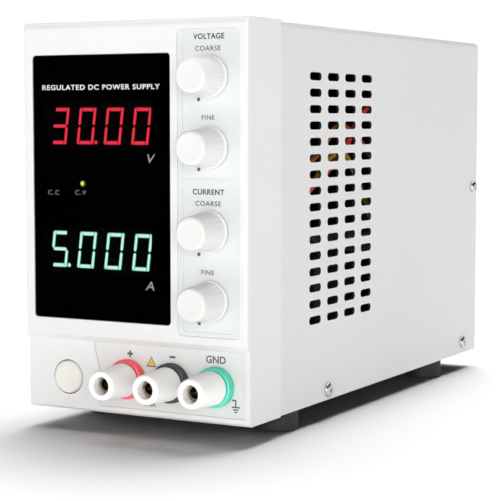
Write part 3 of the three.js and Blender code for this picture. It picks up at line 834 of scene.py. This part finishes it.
# ---------------------------------------------------------------- knobs
def build_knob(k, node):
    lo_, hi_ = nbox(node)
    cx, cz = (lo_[0] + hi_[0]) / 2, (lo_[2] + hi_[2]) / 2
    yb, yf = hi_[1], lo_[1]
    R = (hi_[0] - lo_[0]) / 2
    n = 20
    prof, dep = [], []
    def add_(pts, d=0.0):
        for i, p in enumerate(pts):
            prof.append(p)
            dep.append(d if not callable(d) else d(i / max(1, len(pts) - 1)))
    add_([(0, yb - 11.2), (3.0, yb - 11.2)])
    add_([(3.3, yb - 10.9), (3.3, yb - 4.9), (3.5, yb - 4.7), (6.2, yb - 4.7), (6.4, yb - 4.5), (6.6, yb - 0.2), (6.8, yb)])
    add_([(R - 0.25, yb), (R - 0.06, yb - 0.12), (R, yb - 0.35), (R, yb - 0.72), (R - 0.1, yb - 0.92)])
    add_([(R - 0.42, yb - 1.04)])
    add_([(7.28, yb - 1.16)], 0.03)
    add_([(7.24, yb - 1.34)], 0.16)
    m_ = 7
    body_ = [(7.22 - (7.22 - 6.24) * (i / m_), yb - 1.6 - (abs(yf - yb) - 1.6 - 1.5) * (i / m_)) for i in range(m_ + 1)]
    add_(body_, lambda t: 0.17 * max(0.0, 1 - 1.5 * t) ** 0.8)
    add_([(6.2, yf + 1.1), (6.08, yf + 0.62), (5.85, yf + 0.27), (5.5, yf + 0.06), (5.15, yf), (4.7, yf + 0.03), (3.0, yf + 0.12), (0, yf + 0.16)])
    def wave(t, i):
        c = math.cos(n * t)
        return -dep[i] * (max(0.0, (c - 0.45) / 0.55) ** 0.9 if dep[i] else 0.0)
    o = lathe(f"{node}_grip", prof, "y", cx, cz, n * 12, M["knob"], wave, 40)
    place(o, node.replace("_knob", "_control"), node)


for i_, k_ in enumerate(KNOBS):
    build_knob(i_, k_ + "_knob")


# ---------------------------------------------------------------- binding posts
def build_post(tag, mat):
    cx, cy, cz = centre(tag + "_post_cap")
    lo_, hi_ = nbox(tag + "_post_base")
    yb = 2.15
    yf = lo_[1]
    R = (hi_[0] - lo_[0]) / 2
    ribs = 54
    prof = [(3.2, yf + 0.35), (5.0, yf + 0.35), (5.9, yf + 0.3), (6.2, yf + 0.12), (6.55, yf), (6.85, yf + 0.02), (7.12, yf + 0.16), (7.2, yf + 0.4),
            (R, yf + 0.55), (R, yb - 0.55), (R - 0.2, yb - 0.38), (R - 0.16, yb),
            (4.5, yb), (4.5, 7.2), (4.3, 7.4), (3.2, 7.4), (3.2, yf + 0.35)]
    dep = {8: 0.36, 9: 0.36}
    def wave(t, i):
        d = dep.get(i, 0.0)
        return -d * (0.5 + 0.5 * math.cos(ribs * t)) if d else 0.0
    o = lathe(f"{tag}_post_ring", prof, "y", cx, cz, ribs * 6, M[mat], wave, 50)
    place(o, "case", tag + "_post_base")
    clo, chi = nbox(tag + "_post_cap")
    f, b = clo[1], chi[1]
    Rb = (chi[0] - clo[0]) / 2
    def rad(y):
        return 5.5 + (Rb - 5.5) * ((y + 16.2) / (16.2 + b)) ** 0.9 if y > -16.2 else 5.5
    body_ = [(rad(b - 0.5 - (b + 15.7) * (i / 8)), b - 0.5 - (b + 15.7) * (i / 8)) for i in range(9)]
    prof = [(5.1, b)] + [(Rb - 0.4, b), (Rb - 0.12, b - 0.12), (Rb - 0.02, b - 0.35)] + body_
    prof += [(5.42, f + 0.75), (5.25, f + 0.38), (4.98, f + 0.12), (4.65, f)]
    prof += [(3.95, f), (3.66, f + 0.09), (3.44, f + 0.32), (3.34, f + 0.7), (3.3, f + 1.4), (3.3, b - 1.2), (5.1, b - 1.2), (5.1, b)]
    o = lathe(f"{tag}_post_thumb_cap", prof, "y", cx, cz, 96, M["cap"], None, 40)
    place(o, f"{tag}_cap", tag + "_post_cap")
    # stem: socket, shallow thread, solder tail
    slo, shi = nbox(tag + "_post_stem")
    nose, tail = slo[1], shi[1]
    prof = [(0, nose + 9.2), (1.9, nose + 8.4), (2.05, nose + 8.2), (2.05, nose + 0.35), (2.3, nose + 0.02), (2.6, nose), (2.8, nose + 0.2)]
    y = nose + 1.2
    while y < 11.5:
        prof += [(2.8, y), (2.62, y + 0.35), (2.8, y + 0.7)]
        y += 0.8
    prof += [(2.8, 12.6), (1.6, 13.0), (1.6, tail - 0.3), (1.3, tail), (0, tail)]
    o = lathe("st", prof, "y", cx, cz, 48, M["brass"], None, 50)
    boolean(o, [rod("t", "x", 0.9, cx - 4, cx + 4, -2.9, cz, 20)])
    boolean(o, [block("t", cx - 2, cx + 2, 15.5, 22, cz + 0.6, cz + 2), block("t", cx - 2, cx + 2, 15.5, 22, cz - 2, cz - 0.6)])
    for p in o.data.polygons:
        p.use_smooth = True
    o.data.set_sharp_from_angle(angle=math.radians(35))
    o.name = f"{tag}_post_socket_stem"
    place(o, "case", tag + "_post_stem")


for t_, m_, s_ in (("positive", "red", "post_red"), ("negative", "black", "post_black"), ("ground", "mint", "post_mint")):
    build_post(t_, m_)


# ---------------------------------------------------------------- power button
def build_button():
    x, z = BC[0], BC[2]
    f, b = blo[1], bhi[1]
    R = BC_R
    prof = [(0, f + 0.26), (2.4, f + 0.22), (4.0, f + 0.1), (4.7, f), (5.2, f + 0.1), (5.6, f + 0.26), (5.95, f + 0.5), (R - 0.2, f + 0.8),
            (R - 0.05, f + 1.1), (R, f + 1.5), (R, 8.3), (R - 0.3, 8.6), (2.2, 8.6), (2.2, b - 0.3), (1.9, b), (0, b)]
    o = lathe("power_button_cap", prof, "y", x, z, 96, M["button"], None, 40)
    place(o, "power_button", "power_button")


build_button()


# ---------------------------------------------------------------- digits
SEGS = {"0": "abcdef", "3": "abcdg", "5": "acdfg", "8": "abcdefg"}


def digit_polys(cx, cz, grow=0.0, h=13.6, w2=3.22, tv=0.92, th=1.12, slant=0.125):
    """Seven bars of a slanted digit, by letter: uprights run to the corners, cross bars sit between them."""
    H2 = h / 2
    a, k, t = tv / 2 + grow, th + grow, grow
    xo, xi, top, g = w2 + a, w2 - a, H2 + t, 0.32 - grow * 0.8
    up_l = [(-xo, top - 0.55), (-xo + 0.5, top), (-xi, top), (-xi, g + a), (-w2, g), (-xo, g + a)]
    up_r = [(xo, top - 0.2), (xo - 0.3, top), (xi, top), (xi, g + a), (w2, g), (xo, g + a)]
    bar = xi - 0.34 - grow * 0.2 + grow
    d = {"a": [(-bar, top), (-bar, H2 - k), (bar, H2 - k), (bar, top)],
         "d": [(-bar, -top), (bar, -top), (bar, -H2 + k), (-bar, -H2 + k)],
         "g": [(-w2 + 0.25 - t, 0), (-xi + 0.1, -k / 2), (xi - 0.1, -k / 2), (w2 - 0.25 + t, 0), (xi - 0.1, k / 2), (-xi + 0.1, k / 2)],
         "f": up_l, "b": up_r,
         "e": [(u, -v) for u, v in up_l], "c": [(u, -v) for u, v in up_r]}
    return {n_: [(cx + u + slant * v, cz + v) for u, v in p] for n_, p in d.items()}


def build_display(node, chars, dot_after, lit, spill_mat, name, x0, pitch, dpx):
    lo_, hi_ = nbox(node)
    zc = (lo_[2] + hi_[2]) / 2
    yf = lo_[1]
    o = block("m", lo_[0], hi_[0], yf, hi_[1], lo_[2], hi_[2], M["module"])
    soften(o, 0.25, 2, 30)
    o.name = name + "_module"
    place(o, "case", node)
    on, off, glo = [], [], []
    for i, ch in enumerate(chars):
        cx = x0 + i * pitch
        ps, pg = digit_polys(cx, zc), digit_polys(cx, zc, 0.26)
        for s_ in ps:
            if s_ in SEGS[ch]:
                on.append(ps[s_])
                glo.append(pg[s_])
            else:
                off.append(ps[s_])
        dp = circle(cx + dpx, zc - 6.1, 0.66, 20)
        if i == dot_after:
            on.append(dp)
            glo.append(circle(cx + dpx, zc - 6.1, 0.86, 20))
        else:
            off.append(dp)
    d = 0.04
    place(join(name + "_segments_lit", [prism("d", p, "y", yf - 0.02 - 3 * d, yf - 0.02 - 2 * d, M[lit]) for p in on]), "case")
    # wider dim copies of the lit bars, just behind them: painted glow of spilled light
    place(join(name + "_segments_painted_spill", [prism("d", p, "y", yf - 0.02 - (1.6 - 0.1 * (i % 7)) * d, yf - 0.02 - 0.2 * d, M[spill_mat]) for i, p in enumerate(glo)]), "case")
    place(join(name + "_segments_unlit", [prism("d", p, "y", yf - 0.02 - d, yf - 0.02, M["seg_off"]) for p in off]), "case")


build_display("voltage_display", "3000", 1, "seg_red", "painted_red_spill", "voltage_digits", 14.55, 12.3, 4.2)
build_display("current_display", "5000", 0, "seg_mint", "painted_mint_spill", "current_digits", 14.15, 12.45, 4.15)


def build_lamp(node, mat, lit=False):
    lo_, hi_ = nbox(node)
    cx, cz = (lo_[0] + hi_[0]) / 2, (lo_[2] + hi_[2]) / 2
    f = lo_[1]
    prof = [(0, 11.2), (1.2, 11.2), (1.2, 7.7), (1.85, 7.6), (1.85, 6.8), (1.5, 6.7), (1.5, f + 1.5)]
    prof += [(1.5 * math.cos(math.radians(a)), f + 1.5 - 1.5 * math.sin(math.radians(a))) for a in (15, 30, 45, 60, 75)] + [(0, f)]
    o = lathe(node + "_lens", prof, "y", cx, cz, 32, M[mat], None, 40)
    place(o, "case", node)
    if lit:
        g = lathe(node + "_die", [(0, f - 0.10), (0.5, f - 0.08), (0.74, f - 0.02), (0.8, f + 0.06), (0, f + 0.06)], "y", cx - 0.85, cz, 32, M["lamp_on"], None, 40)
        place(g, "case")
        g = lathe(node + "_halo", [(0, f + 0.07), (1.1, f + 0.07), (1.2, f + 0.13), (0, f + 0.13)], "y", cx - 0.6, cz, 32, M["lamp_halo"], None, 40)
        place(g, "case")


build_lamp("constant_current_lamp", "lamp_off")
build_lamp("constant_voltage_lamp", "lamp_body", True)


# ---------------------------------------------------------------- legends
def legends():
    y = wlo[1]
    text_mesh("legend_title", "REGULATED DC POWER SUPPLY", 2.62, 34.9, 123.4, y, M["ink_white"], stretch=1.245, bold=0.05, spacing=1.13)
    text_mesh("legend_volts", "V", 4.7, 56.7, 96.9, y, M["ink_grey"], shear=0.22, stretch=1.2)
    text_mesh("legend_amps", "A", 4.8, 56.7, 49.8, y, M["ink_grey"], shear=0.18, stretch=1.2)
    text_mesh("legend_cc", "C.C", 2.6, 13.5, 83.6, y, M["ink_dim"], stretch=1.15, spacing=1.2)
    text_mesh("legend_cv", "C.V", 2.6, 25.9, 83.8, y, M["ink_dim"], stretch=1.15, spacing=1.2)
    y = klo[1] + 0.35
    text_mesh("legend_voltage", "VOLTAGE", 2.75, 81.9, 141.2, y, M["ink_navy"], bold=0.075, spacing=1.08)
    text_mesh("legend_coarse_upper", "COARSE", 2.45, 81.5, 136.9, y, M["ink"], bold=0.035, spacing=1.16, stretch=1.06)
    text_mesh("legend_fine_upper", "FINE", 2.35, 81.5, 112.1, y, M["ink"], bold=0.035, spacing=1.14, stretch=1.06)
    text_mesh("legend_current", "CURRENT", 2.75, 81.6, 85.2, y, M["ink_navy"], bold=0.075, spacing=1.10)
    text_mesh("legend_coarse_lower", "COARSE", 2.45, 81.5, 81.0, y, M["ink"], bold=0.045, spacing=1.16, stretch=1.06)
    text_mesh("legend_fine_lower", "FINE", 2.35, 81.2, 55.9, y, M["ink"], bold=0.045, spacing=1.14, stretch=1.06)
    decal("legend_start_dots", [circle(77.6, z, 0.72, 24) for z in (118.6, 93.3, 62.4, 37.1)], y, M["ink"])
    y = tlo[1]
    text_mesh("legend_plus", "+", 4.6, 46.4, 23.5, y, M["ink"], bold=0.2)
    text_mesh("legend_minus", "-", 6.3, 65.0, 23.5, y, M["ink"], bold=0.12, stretch=1.45)
    text_mesh("legend_ground", "GND", 3.7, 83.6, 23.85, y, M["ink"], spacing=1.02, bold=0.09)
    text_mesh("legend_rating", "0-5A", 2.3, 55.1, 4.95, y, M["ink"], spacing=1.1, bold=0.06)
    tri = lambda s, dz=0.0: [(55.75 - 2.25 * s, 20.9 - 1.75 * s + dz), (55.75 + 2.25 * s, 20.9 - 1.75 * s + dz), (55.75, 20.9 + 2.2 * s + dz)]
    decal("legend_triangle_edge", [tri(1.0)], y, M["ink"])
    decal("legend_triangle_field", [tri(0.76)], y - 0.02, M["ink_amber"])
    r = lambda x0, x1, z0, z1: [(x0, z0), (x1, z0), (x1, z1), (x0, z1)]
    decal("legend_earth_symbol", [r(90.2, 91.6, 9.25, 9.75), r(91.6, 92.15, 7.2, 9.75), r(90.2, 93.7, 6.65, 7.2),
                                  r(90.75, 93.1, 5.75, 6.25), r(91.3, 92.5, 4.85, 5.35)], y, M["ink"])


legends()


# ---------------------------------------------------------------- wires and inner parts
def tube(name, pts, r, mat, seg=14, sub=12):
    """A smooth round wire through the points, closed at both ends."""
    P_ = [Vector(p) for p in pts]
    def cr(p0, p1, p2, p3, t):
        def tj(ti, a, b):
            return ti + max((b - a).length, 1e-6) ** 0.5
        t0 = 0.0; t1 = tj(t0, p0, p1); t2 = tj(t1, p1, p2); t3 = tj(t2, p2, p3)
        tt = t1 + (t2 - t1) * t
        a1 = p0 * ((t1 - tt) / (t1 - t0)) + p1 * ((tt - t0) / (t1 - t0))
        a2 = p1 * ((t2 - tt) / (t2 - t1)) + p2 * ((tt - t1) / (t2 - t1))
        a3 = p2 * ((t3 - tt) / (t3 - t2)) + p3 * ((tt - t2) / (t3 - t2))
        b1 = a1 * ((t2 - tt) / (t2 - t0)) + a2 * ((tt - t0) / (t2 - t0))
        b2 = a2 * ((t3 - tt) / (t3 - t1)) + a3 * ((tt - t1) / (t3 - t1))
        return b1 * ((t2 - tt) / (t2 - t1)) + b2 * ((tt - t1) / (t2 - t1))
    ext = [P_[0] * 2 - P_[1]] + P_ + [P_[-1] * 2 - P_[-2]]
    line = []
    for i in range(1, len(ext) - 2):
        for k in range(sub):
            line.append(cr(ext[i - 1], ext[i], ext[i + 1], ext[i + 2], k / sub))
    line.append(P_[-1].copy())
    verts, faces = [], []
    up = Vector((0, 0, 1))
    prev = None
    for i, p in enumerate(line):
        d = (line[min(i + 1, len(line) - 1)] - line[max(i - 1, 0)]).normalized()
        if prev is None:
            n = d.cross(up).normalized()
        else:
            n = (prev - d * prev.dot(d)).normalized()
        prev = n
        b = d.cross(n)
        for k in range(seg):
            a = 2 * math.pi * k / seg
            verts.append(tuple(p + n * (r * math.cos(a)) + b * (r * math.sin(a))))
    m_ = len(line)
    for i in range(m_ - 1):
        for k in range(seg):
            k2 = (k + 1) % seg
            faces.append((i * seg + k, i * seg + k2, (i + 1) * seg + k2, (i + 1) * seg + k))
    faces.append(tuple(range(seg)))
    faces.append(tuple((m_ - 1) * seg + k for k in reversed(range(seg))))
    return obj(name, verts, faces, mat, 50)


WIRES = {
    "red_wire": ([(66, 14.6, 74), (82, 21, 72), (94.5, 40, 77), (94.7, 56, 84), (94.7, 87, 99), (94.7, 103, 113), (94.7, 118, 117),
                  (94.6, 131, 106), (94.2, 138, 80), (90, 143, 45), (80, 146, 15.4)], "w_red"),
    "orange_wire": ([(66, 14.6, 82), (82, 21, 81), (91.5, 42, 87), (91.6, 72, 99), (91.6, 87, 108.6), (91.6, 102, 106), (91.5, 120, 96),
                     (91, 148, 84), (89, 162, 56), (85, 166, 34), (80, 168, 15.4)], "w_orange"),
    "yellow_wire": ([(66, 14.6, 66), (80, 21, 64), (88.5, 42, 72), (88.6, 70, 85.5), (88.6, 87, 96), (88.6, 100, 97), (88.0, 118, 82),
                     (86, 140, 62), (84, 172, 52), (82, 190, 30), (80, 194, 15.4)], "w_yellow"),
}
for n_, (pts_, m_) in WIRES.items():
    place(tube(n_ + "_insulated", pts_, 1.1, M[m_]), "case", n_)


def build_transformer():
    lo_, hi_ = nbox("transformer")
    cx, cy = (lo_[0] + hi_[0]) / 2, (lo_[1] + hi_[1]) / 2
    z0 = lo_[2]
    core = block("c", cx - 21, cx + 21, cy - 8, cy + 8, z0 + 4, z0 + 40, M["ferrite"])
    soften(core, 0.8, 3, 30)
    wind = prism("w", rrect(cx - 15, cx + 15, cy - 18, cy + 18, 5, 6), "z", z0 + 6, z0 + 38, M["tape"])
    soften(wind, 0.8, 3, 40)
    base = block("b", cx - 19, cx + 19, cy - 16, cy + 16, z0, z0 + 4.5, M["inner_black"])
    soften(base, 0.4, 2, 30)
    o = join("transformer_core_and_winding", [core, wind, base])
    place(o, "case", "transformer")


build_transformer()


def build_capacitor():
    lo_, hi_ = nbox("filter_capacitor")
    cx, cy = (lo_[0] + hi_[0]) / 2, (lo_[1] + hi_[1]) / 2
    z0, z1, R = lo_[2], hi_[2], (hi_[0] - lo_[0]) / 2
    prof = [(0, z0), (R - 0.6, z0), (R, z0 + 0.6), (R, z0 + 3.0), (R - 0.7, z0 + 3.7), (R - 0.7, z0 + 4.1), (R, z0 + 4.8), (R, z1 - 1.2),
            (R - 0.35, z1 - 0.35), (R - 1.2, z1 - 0.05), (R - 1.7, z1 - 0.4), (0, z1 - 0.4)]
    o = lathe("filter_capacitor_can", prof, "z", cx, cy, 64, M["sleeve"], None, 40)
    place(o, "case", "filter_capacitor")


build_capacitor()


# ---------------------------------------------------------------- fan rotor
def build_filter():
    """Thin dark dust filter held between the fan and the grille, with a low ripple across its radius."""
    c_ = centre("fan_frame")
    yb = nbox("fan_frame")[1][1] - 0.12
    a, b = nbox("fan_frame")
    rad_ = min(b[0] - a[0], b[2] - a[2]) / 2 - 1.9
    prof = [(0, yb - 0.5), (rad_ * 0.3, yb - 0.45), (rad_ * 0.6, yb - 0.5), (rad_ * 0.85, yb - 0.45), (rad_ - 0.3, yb - 0.42), (rad_, yb - 0.2), (rad_ - 0.3, yb), (0, yb)]
    o = lathe("dust_filter", prof, "y", c_[0], c_[2], 96, M["card"], lambda t, i: 0.0, 40)
    place(o, "case")


build_filter()


def build_rotor():
    lo_, hi_ = nbox("fan_rotor")
    cx, cy, cz = 49.0, (lo_[1] + hi_[1]) / 2, 98.0
    hub = lathe("h", [(0, cy - 8.5), (14.0, cy - 8.5), (15.2, cy - 8.2), (15.9, cy - 7.3), (16, cy - 6), (16, cy + 8.3), (15.6, cy + 8.5), (0, cy + 8.5)],
                "y", cx, cz, 64, M["fan"], None, 40)
    parts = [hub]
    nb, nr, nc = 7, 9, 5
    for b in range(nb):
        verts, faces = [], []
        for side in (-1, 1):
            for i in range(nr):
                t = i / (nr - 1)
                rad = 14.8 + (36.2 - 14.8) * t
                pitch = 0.72 - 0.28 * t
                half = 8.5 * (0.85 + 0.3 * t)
                for j in range(nc):
                    s = -1 + 2 * j / (nc - 1)
                    th = 0.62 * (1 - 0.75 * s * s) + 0.08
                    w = s * half
                    camber = 1.0 * (1 - s * s)
                    yy = w * math.sin(pitch) * 0.98 + camber * math.cos(pitch) + side * th * math.cos(pitch)
                    zz = w * math.cos(pitch) - camber * math.sin(pitch) - side * th * math.sin(pitch)
                    ang = zz / rad + 0.16 * t
                    a = ang + 2 * math.pi * b / nb
                    yy = max(-8.2, min(8.2, yy))
                    verts.append((cx + rad * math.cos(a), cy + yy, cz + rad * math.sin(a)))
        g = nr * nc
        for i in range(nr - 1):
            for j in range(nc - 1):
                a0 = i * nc + j
                faces.append((a0, a0 + 1, a0 + nc + 1, a0 + nc))
                faces.append((g + a0, g + a0 + nc, g + a0 + nc + 1, g + a0 + 1))
        for i in range(nr - 1):
            for j in (0, nc - 1):
                a0 = i * nc + j
                faces.append((a0, a0 + nc, g + a0 + nc, g + a0) if j == 0 else (a0 + nc, a0, g + a0, g + a0 + nc))
        for j in range(nc - 1):
            for i in (0, nr - 1):
                a0 = i * nc + j
                faces.append((a0 + 1, a0, g + a0, g + a0 + 1) if i == 0 else (a0, a0 + 1, g + a0 + 1, g + a0))
        parts.append(obj("bl", verts, faces, M["fan"], 50))
    o = join("fan_rotor_blades", parts)
    place(o, "fan_rotor", "fan_rotor")


build_rotor()


# ---------------------------------------------------------------- mains inlet and fuse drawer
def build_inlet():
    lo_, hi_ = nbox("mains_inlet")
    x, z = 49.0, 33.0
    yf, yp = hi_[1], 230.0
    o = prism("i", rrect(x - 16, x + 16, z - 18, z + 15.5, 1.8, 6), "y", yp, yf, M["inlet"])
    boolean(o, [prism("t", rrect(x - 13.7, x + 13.7, z - 15.0, z + 12.7, 1, 4), "y", 212, yp + 0.5)], "UNION")
    mouth = [(x - 12, z - 5.5), (x - 8.5, z - 8), (x + 8.5, z - 8), (x + 12, z - 5.5), (x + 12, z + 7.4), (x + 11.4, z + 8), (x - 11.4, z + 8), (x - 12, z + 7.4)]
    boolean(o, [prism("t", mouth, "y", 216.4, yf + 1), block("t", x - 8.3, x + 8.3, 214, yf + 1, z - 14.2, z - 9.6)])
    soften(o, 0.3, 2, 30)
    o.name = "mains_inlet_housing"
    place(o, "case", "mains_inlet")
    pins = [block("p", x - 1.0, x + 1.0, 216.5, yf - 1.5, z + 1.2, z + 5.2, M["pin"]), block("p", x - 8.0, x - 6.0, 216.5, yf - 3, z - 3.4, z + 0.6, M["pin"]),
            block("p", x + 6.0, x + 8.0, 216.5, yf - 3, z - 3.4, z + 0.6, M["pin"])]
    for p in pins:
        soften(p, 0.45, 3, 30)
    place(join("mains_inlet_contact_pins", pins), "case")
    dlo, dhi = nbox("fuse_drawer")
    o = block("f", dlo[0], dhi[0], dlo[1], dhi[1], dlo[2], dhi[2], M["inlet"])
    boolean(o, [block("t", x - 2.5, x + 2.5, dhi[1] - 0.7, dhi[1] + 1, dlo[2] + 2.6, dlo[2] + 3.3)])
    soften(o, 0.2, 2, 30)
    o.name = "fuse_drawer_tray"
    place(o, "fuse_drawer", "fuse_drawer")


build_inlet()


# ---------------------------------------------------------------- CAD nodes that keep their shape
KEEP = {"base_tray": "zinc", "power_switch": "inner_black", "display_board": "board", "main_board": "board", "heatsink": "alu", "fan_frame": "fan"}
for k_ in KNOBS:
    KEEP[k_ + "_shaft"] = "steel"
    KEEP[k_ + "_pot"] = "pot"
for p_ in POSTS:
    KEEP[p_ + "_clamp_washer"] = "nickel"
for n_, m_ in KEEP.items():
    o_ = frame["nodes"][n_]
    for s_ in o_.material_slots:
        s_.material = M[m_]
    if not o_.material_slots:
        o_.data.materials.append(M[m_])
    md = o_.modifiers.new("edge", "BEVEL")
    md.width = 0.15 * MM
    md.segments = 2
    md.limit_method = "ANGLE"
    md.angle_limit = math.radians(40)


# ---------------------------------------------------------------- stage, light and camera
def stage():
    me = bpy.data.meshes.new("floor")
    k = 8.0
    me.from_pydata([(-k, -k, 0), (k, -k, 0), (k, k, 0), (-k, k, 0)], [], [(0, 1, 2, 3)])
    o = bpy.data.objects.new("floor", me)
    scene.collection.objects.link(o)
    m, nt, bs, out = new_mat("floor_white")
    bs.inputs["Base Color"].default_value = (0.80, 0.80, 0.80, 1)
    bs.inputs["Roughness"].default_value = 0.95
    bs.inputs["Specular IOR Level"].default_value = 0.0
    me.materials.append(m)
    # a bright band round the horizon and a softer dome above it
    w = bpy.data.worlds.new("world")
    scene.world = w
    w.use_nodes = True
    nt = w.node_tree
    bg = nt.nodes["Background"]
    tc = nt.nodes.new("ShaderNodeTexCoord")
    sp = nt.nodes.new("ShaderNodeSeparateXYZ")
    nt.links.new(tc.outputs["Generated"], sp.inputs[0])
    nt.links.new(ramp(nt, sp.outputs["Z"], [(0.0, (1, 1, 1)), (0.12, (1, 1, 1)), (0.16, (0.02, 0.02, 0.02)), (1.0, (0.02, 0.02, 0.02))]), bg.inputs[0])
    bg.inputs[1].default_value = 1.02

    # the upright faces have lights of their own, which leave the floor to the two top lights
    keep_off = bpy.data.collections.new("fill_receivers")
    keep_off.objects.link(o)
    keep_off.collection_objects[0].light_linking.link_state = "EXCLUDE"

    def lamp(kind, name, loc, target, power, size=None, angle=None):
        l = bpy.data.lights.new(name, kind)
        l.energy = power
        if size:
            l.shape = "RECTANGLE"
            l.size, l.size_y = size
        if angle:
            l.angle = math.radians(angle)
        ob = bpy.data.objects.new(name, l)
        scene.collection.objects.link(ob)
        ob.location = loc
        ob.rotation_euler = (Vector(target) - Vector(loc)).to_track_quat("-Z", "Y").to_euler()
        if kind == "AREA":
            ob.light_linking.receiver_collection = keep_off
        return ob

    def azel(az, el, d, tz):
        a, e = math.radians(az), math.radians(el)
        return (d * math.cos(e) * math.sin(a), -d * math.cos(e) * math.cos(a), tz + d * math.sin(e))
    # wide and high, a little behind, so that the shadow is soft and falls towards the viewer
    # on the floor they are full strength; on the object they are softer, so its top and back keep their shape
    floor_only = bpy.data.collections.new("floor_receiver")
    floor_only.objects.link(o)
    for tag, loc, power, angle in (("top_wide", (-0.24, 0.44, 1.2), 2.65, 60), ("top_back", (0.10, 0.55, 1.75), 1.80, 30)):
        lamp("SUN", tag + "_floor", loc, (0, 0, 0), power, angle=angle).light_linking.receiver_collection = floor_only
        lamp("SUN", tag + "_object", loc, (0, 0, 0), power * 0.55, angle=angle).light_linking.receiver_collection = keep_off
    # a bounce card below the round caps
    posts = bpy.data.collections.new("post_receivers")
    for p_ in ("positive", "negative", "ground"):
        for q in ("_post_thumb_cap", "_post_ring"):
            posts.objects.link(bpy.data.objects[p_ + q])
    no_floor = bpy.data.collections.new("bounce_blockers")
    no_floor.objects.link(o)
    no_floor.collection_objects[0].light_linking.link_state = "EXCLUDE"
    bounce = lamp("AREA", "bounce_low", (0.25, -0.75, -0.75), (0, -0.1, 0.01), 6.5, size=(0.9, 0.5))
    side = lamp("AREA", "post_side", (0.75, -1.0, 0.75), (0.01, -0.11, 0.01), 3.4, size=(0.8, 0.5))
    side.light_linking.receiver_collection = posts
    bounce.light_linking.receiver_collection = posts
    bounce.light_linking.blocker_collection = no_floor
    # large and low round the viewer
    lamp("AREA", "fill_right", azel(37, 9, 2.0, 0.06), (0, 0, 0.06), 12.2, size=(1.2, 0.6))
    lamp("AREA", "fill_front", azel(8, 4.5, 2.2, 0.08), (0, 0, 0.08), 10.2, size=(1.2, 0.3))
    lamp("AREA", "fill_top", azel(15, 60, 2.0, 0.06), (0, 0, 0.06), 2.0, size=(1.0, 1.0))

    cam = bpy.data.cameras.new("camera")
    cam.sensor_width = 36
    cam.lens = 115.41
    cam.clip_end = 50
    co = bpy.data.objects.new("camera", cam)
    scene.collection.objects.link(co)
    co.location = P(374.11, -501.44, 111.83)
    co.rotation_euler = (math.radians(90 - 4.71), 0, math.radians(28.72))
    scene.camera = co
    scene.view_settings.view_transform = "Standard"
    scene.view_settings.look = "None"


stage()
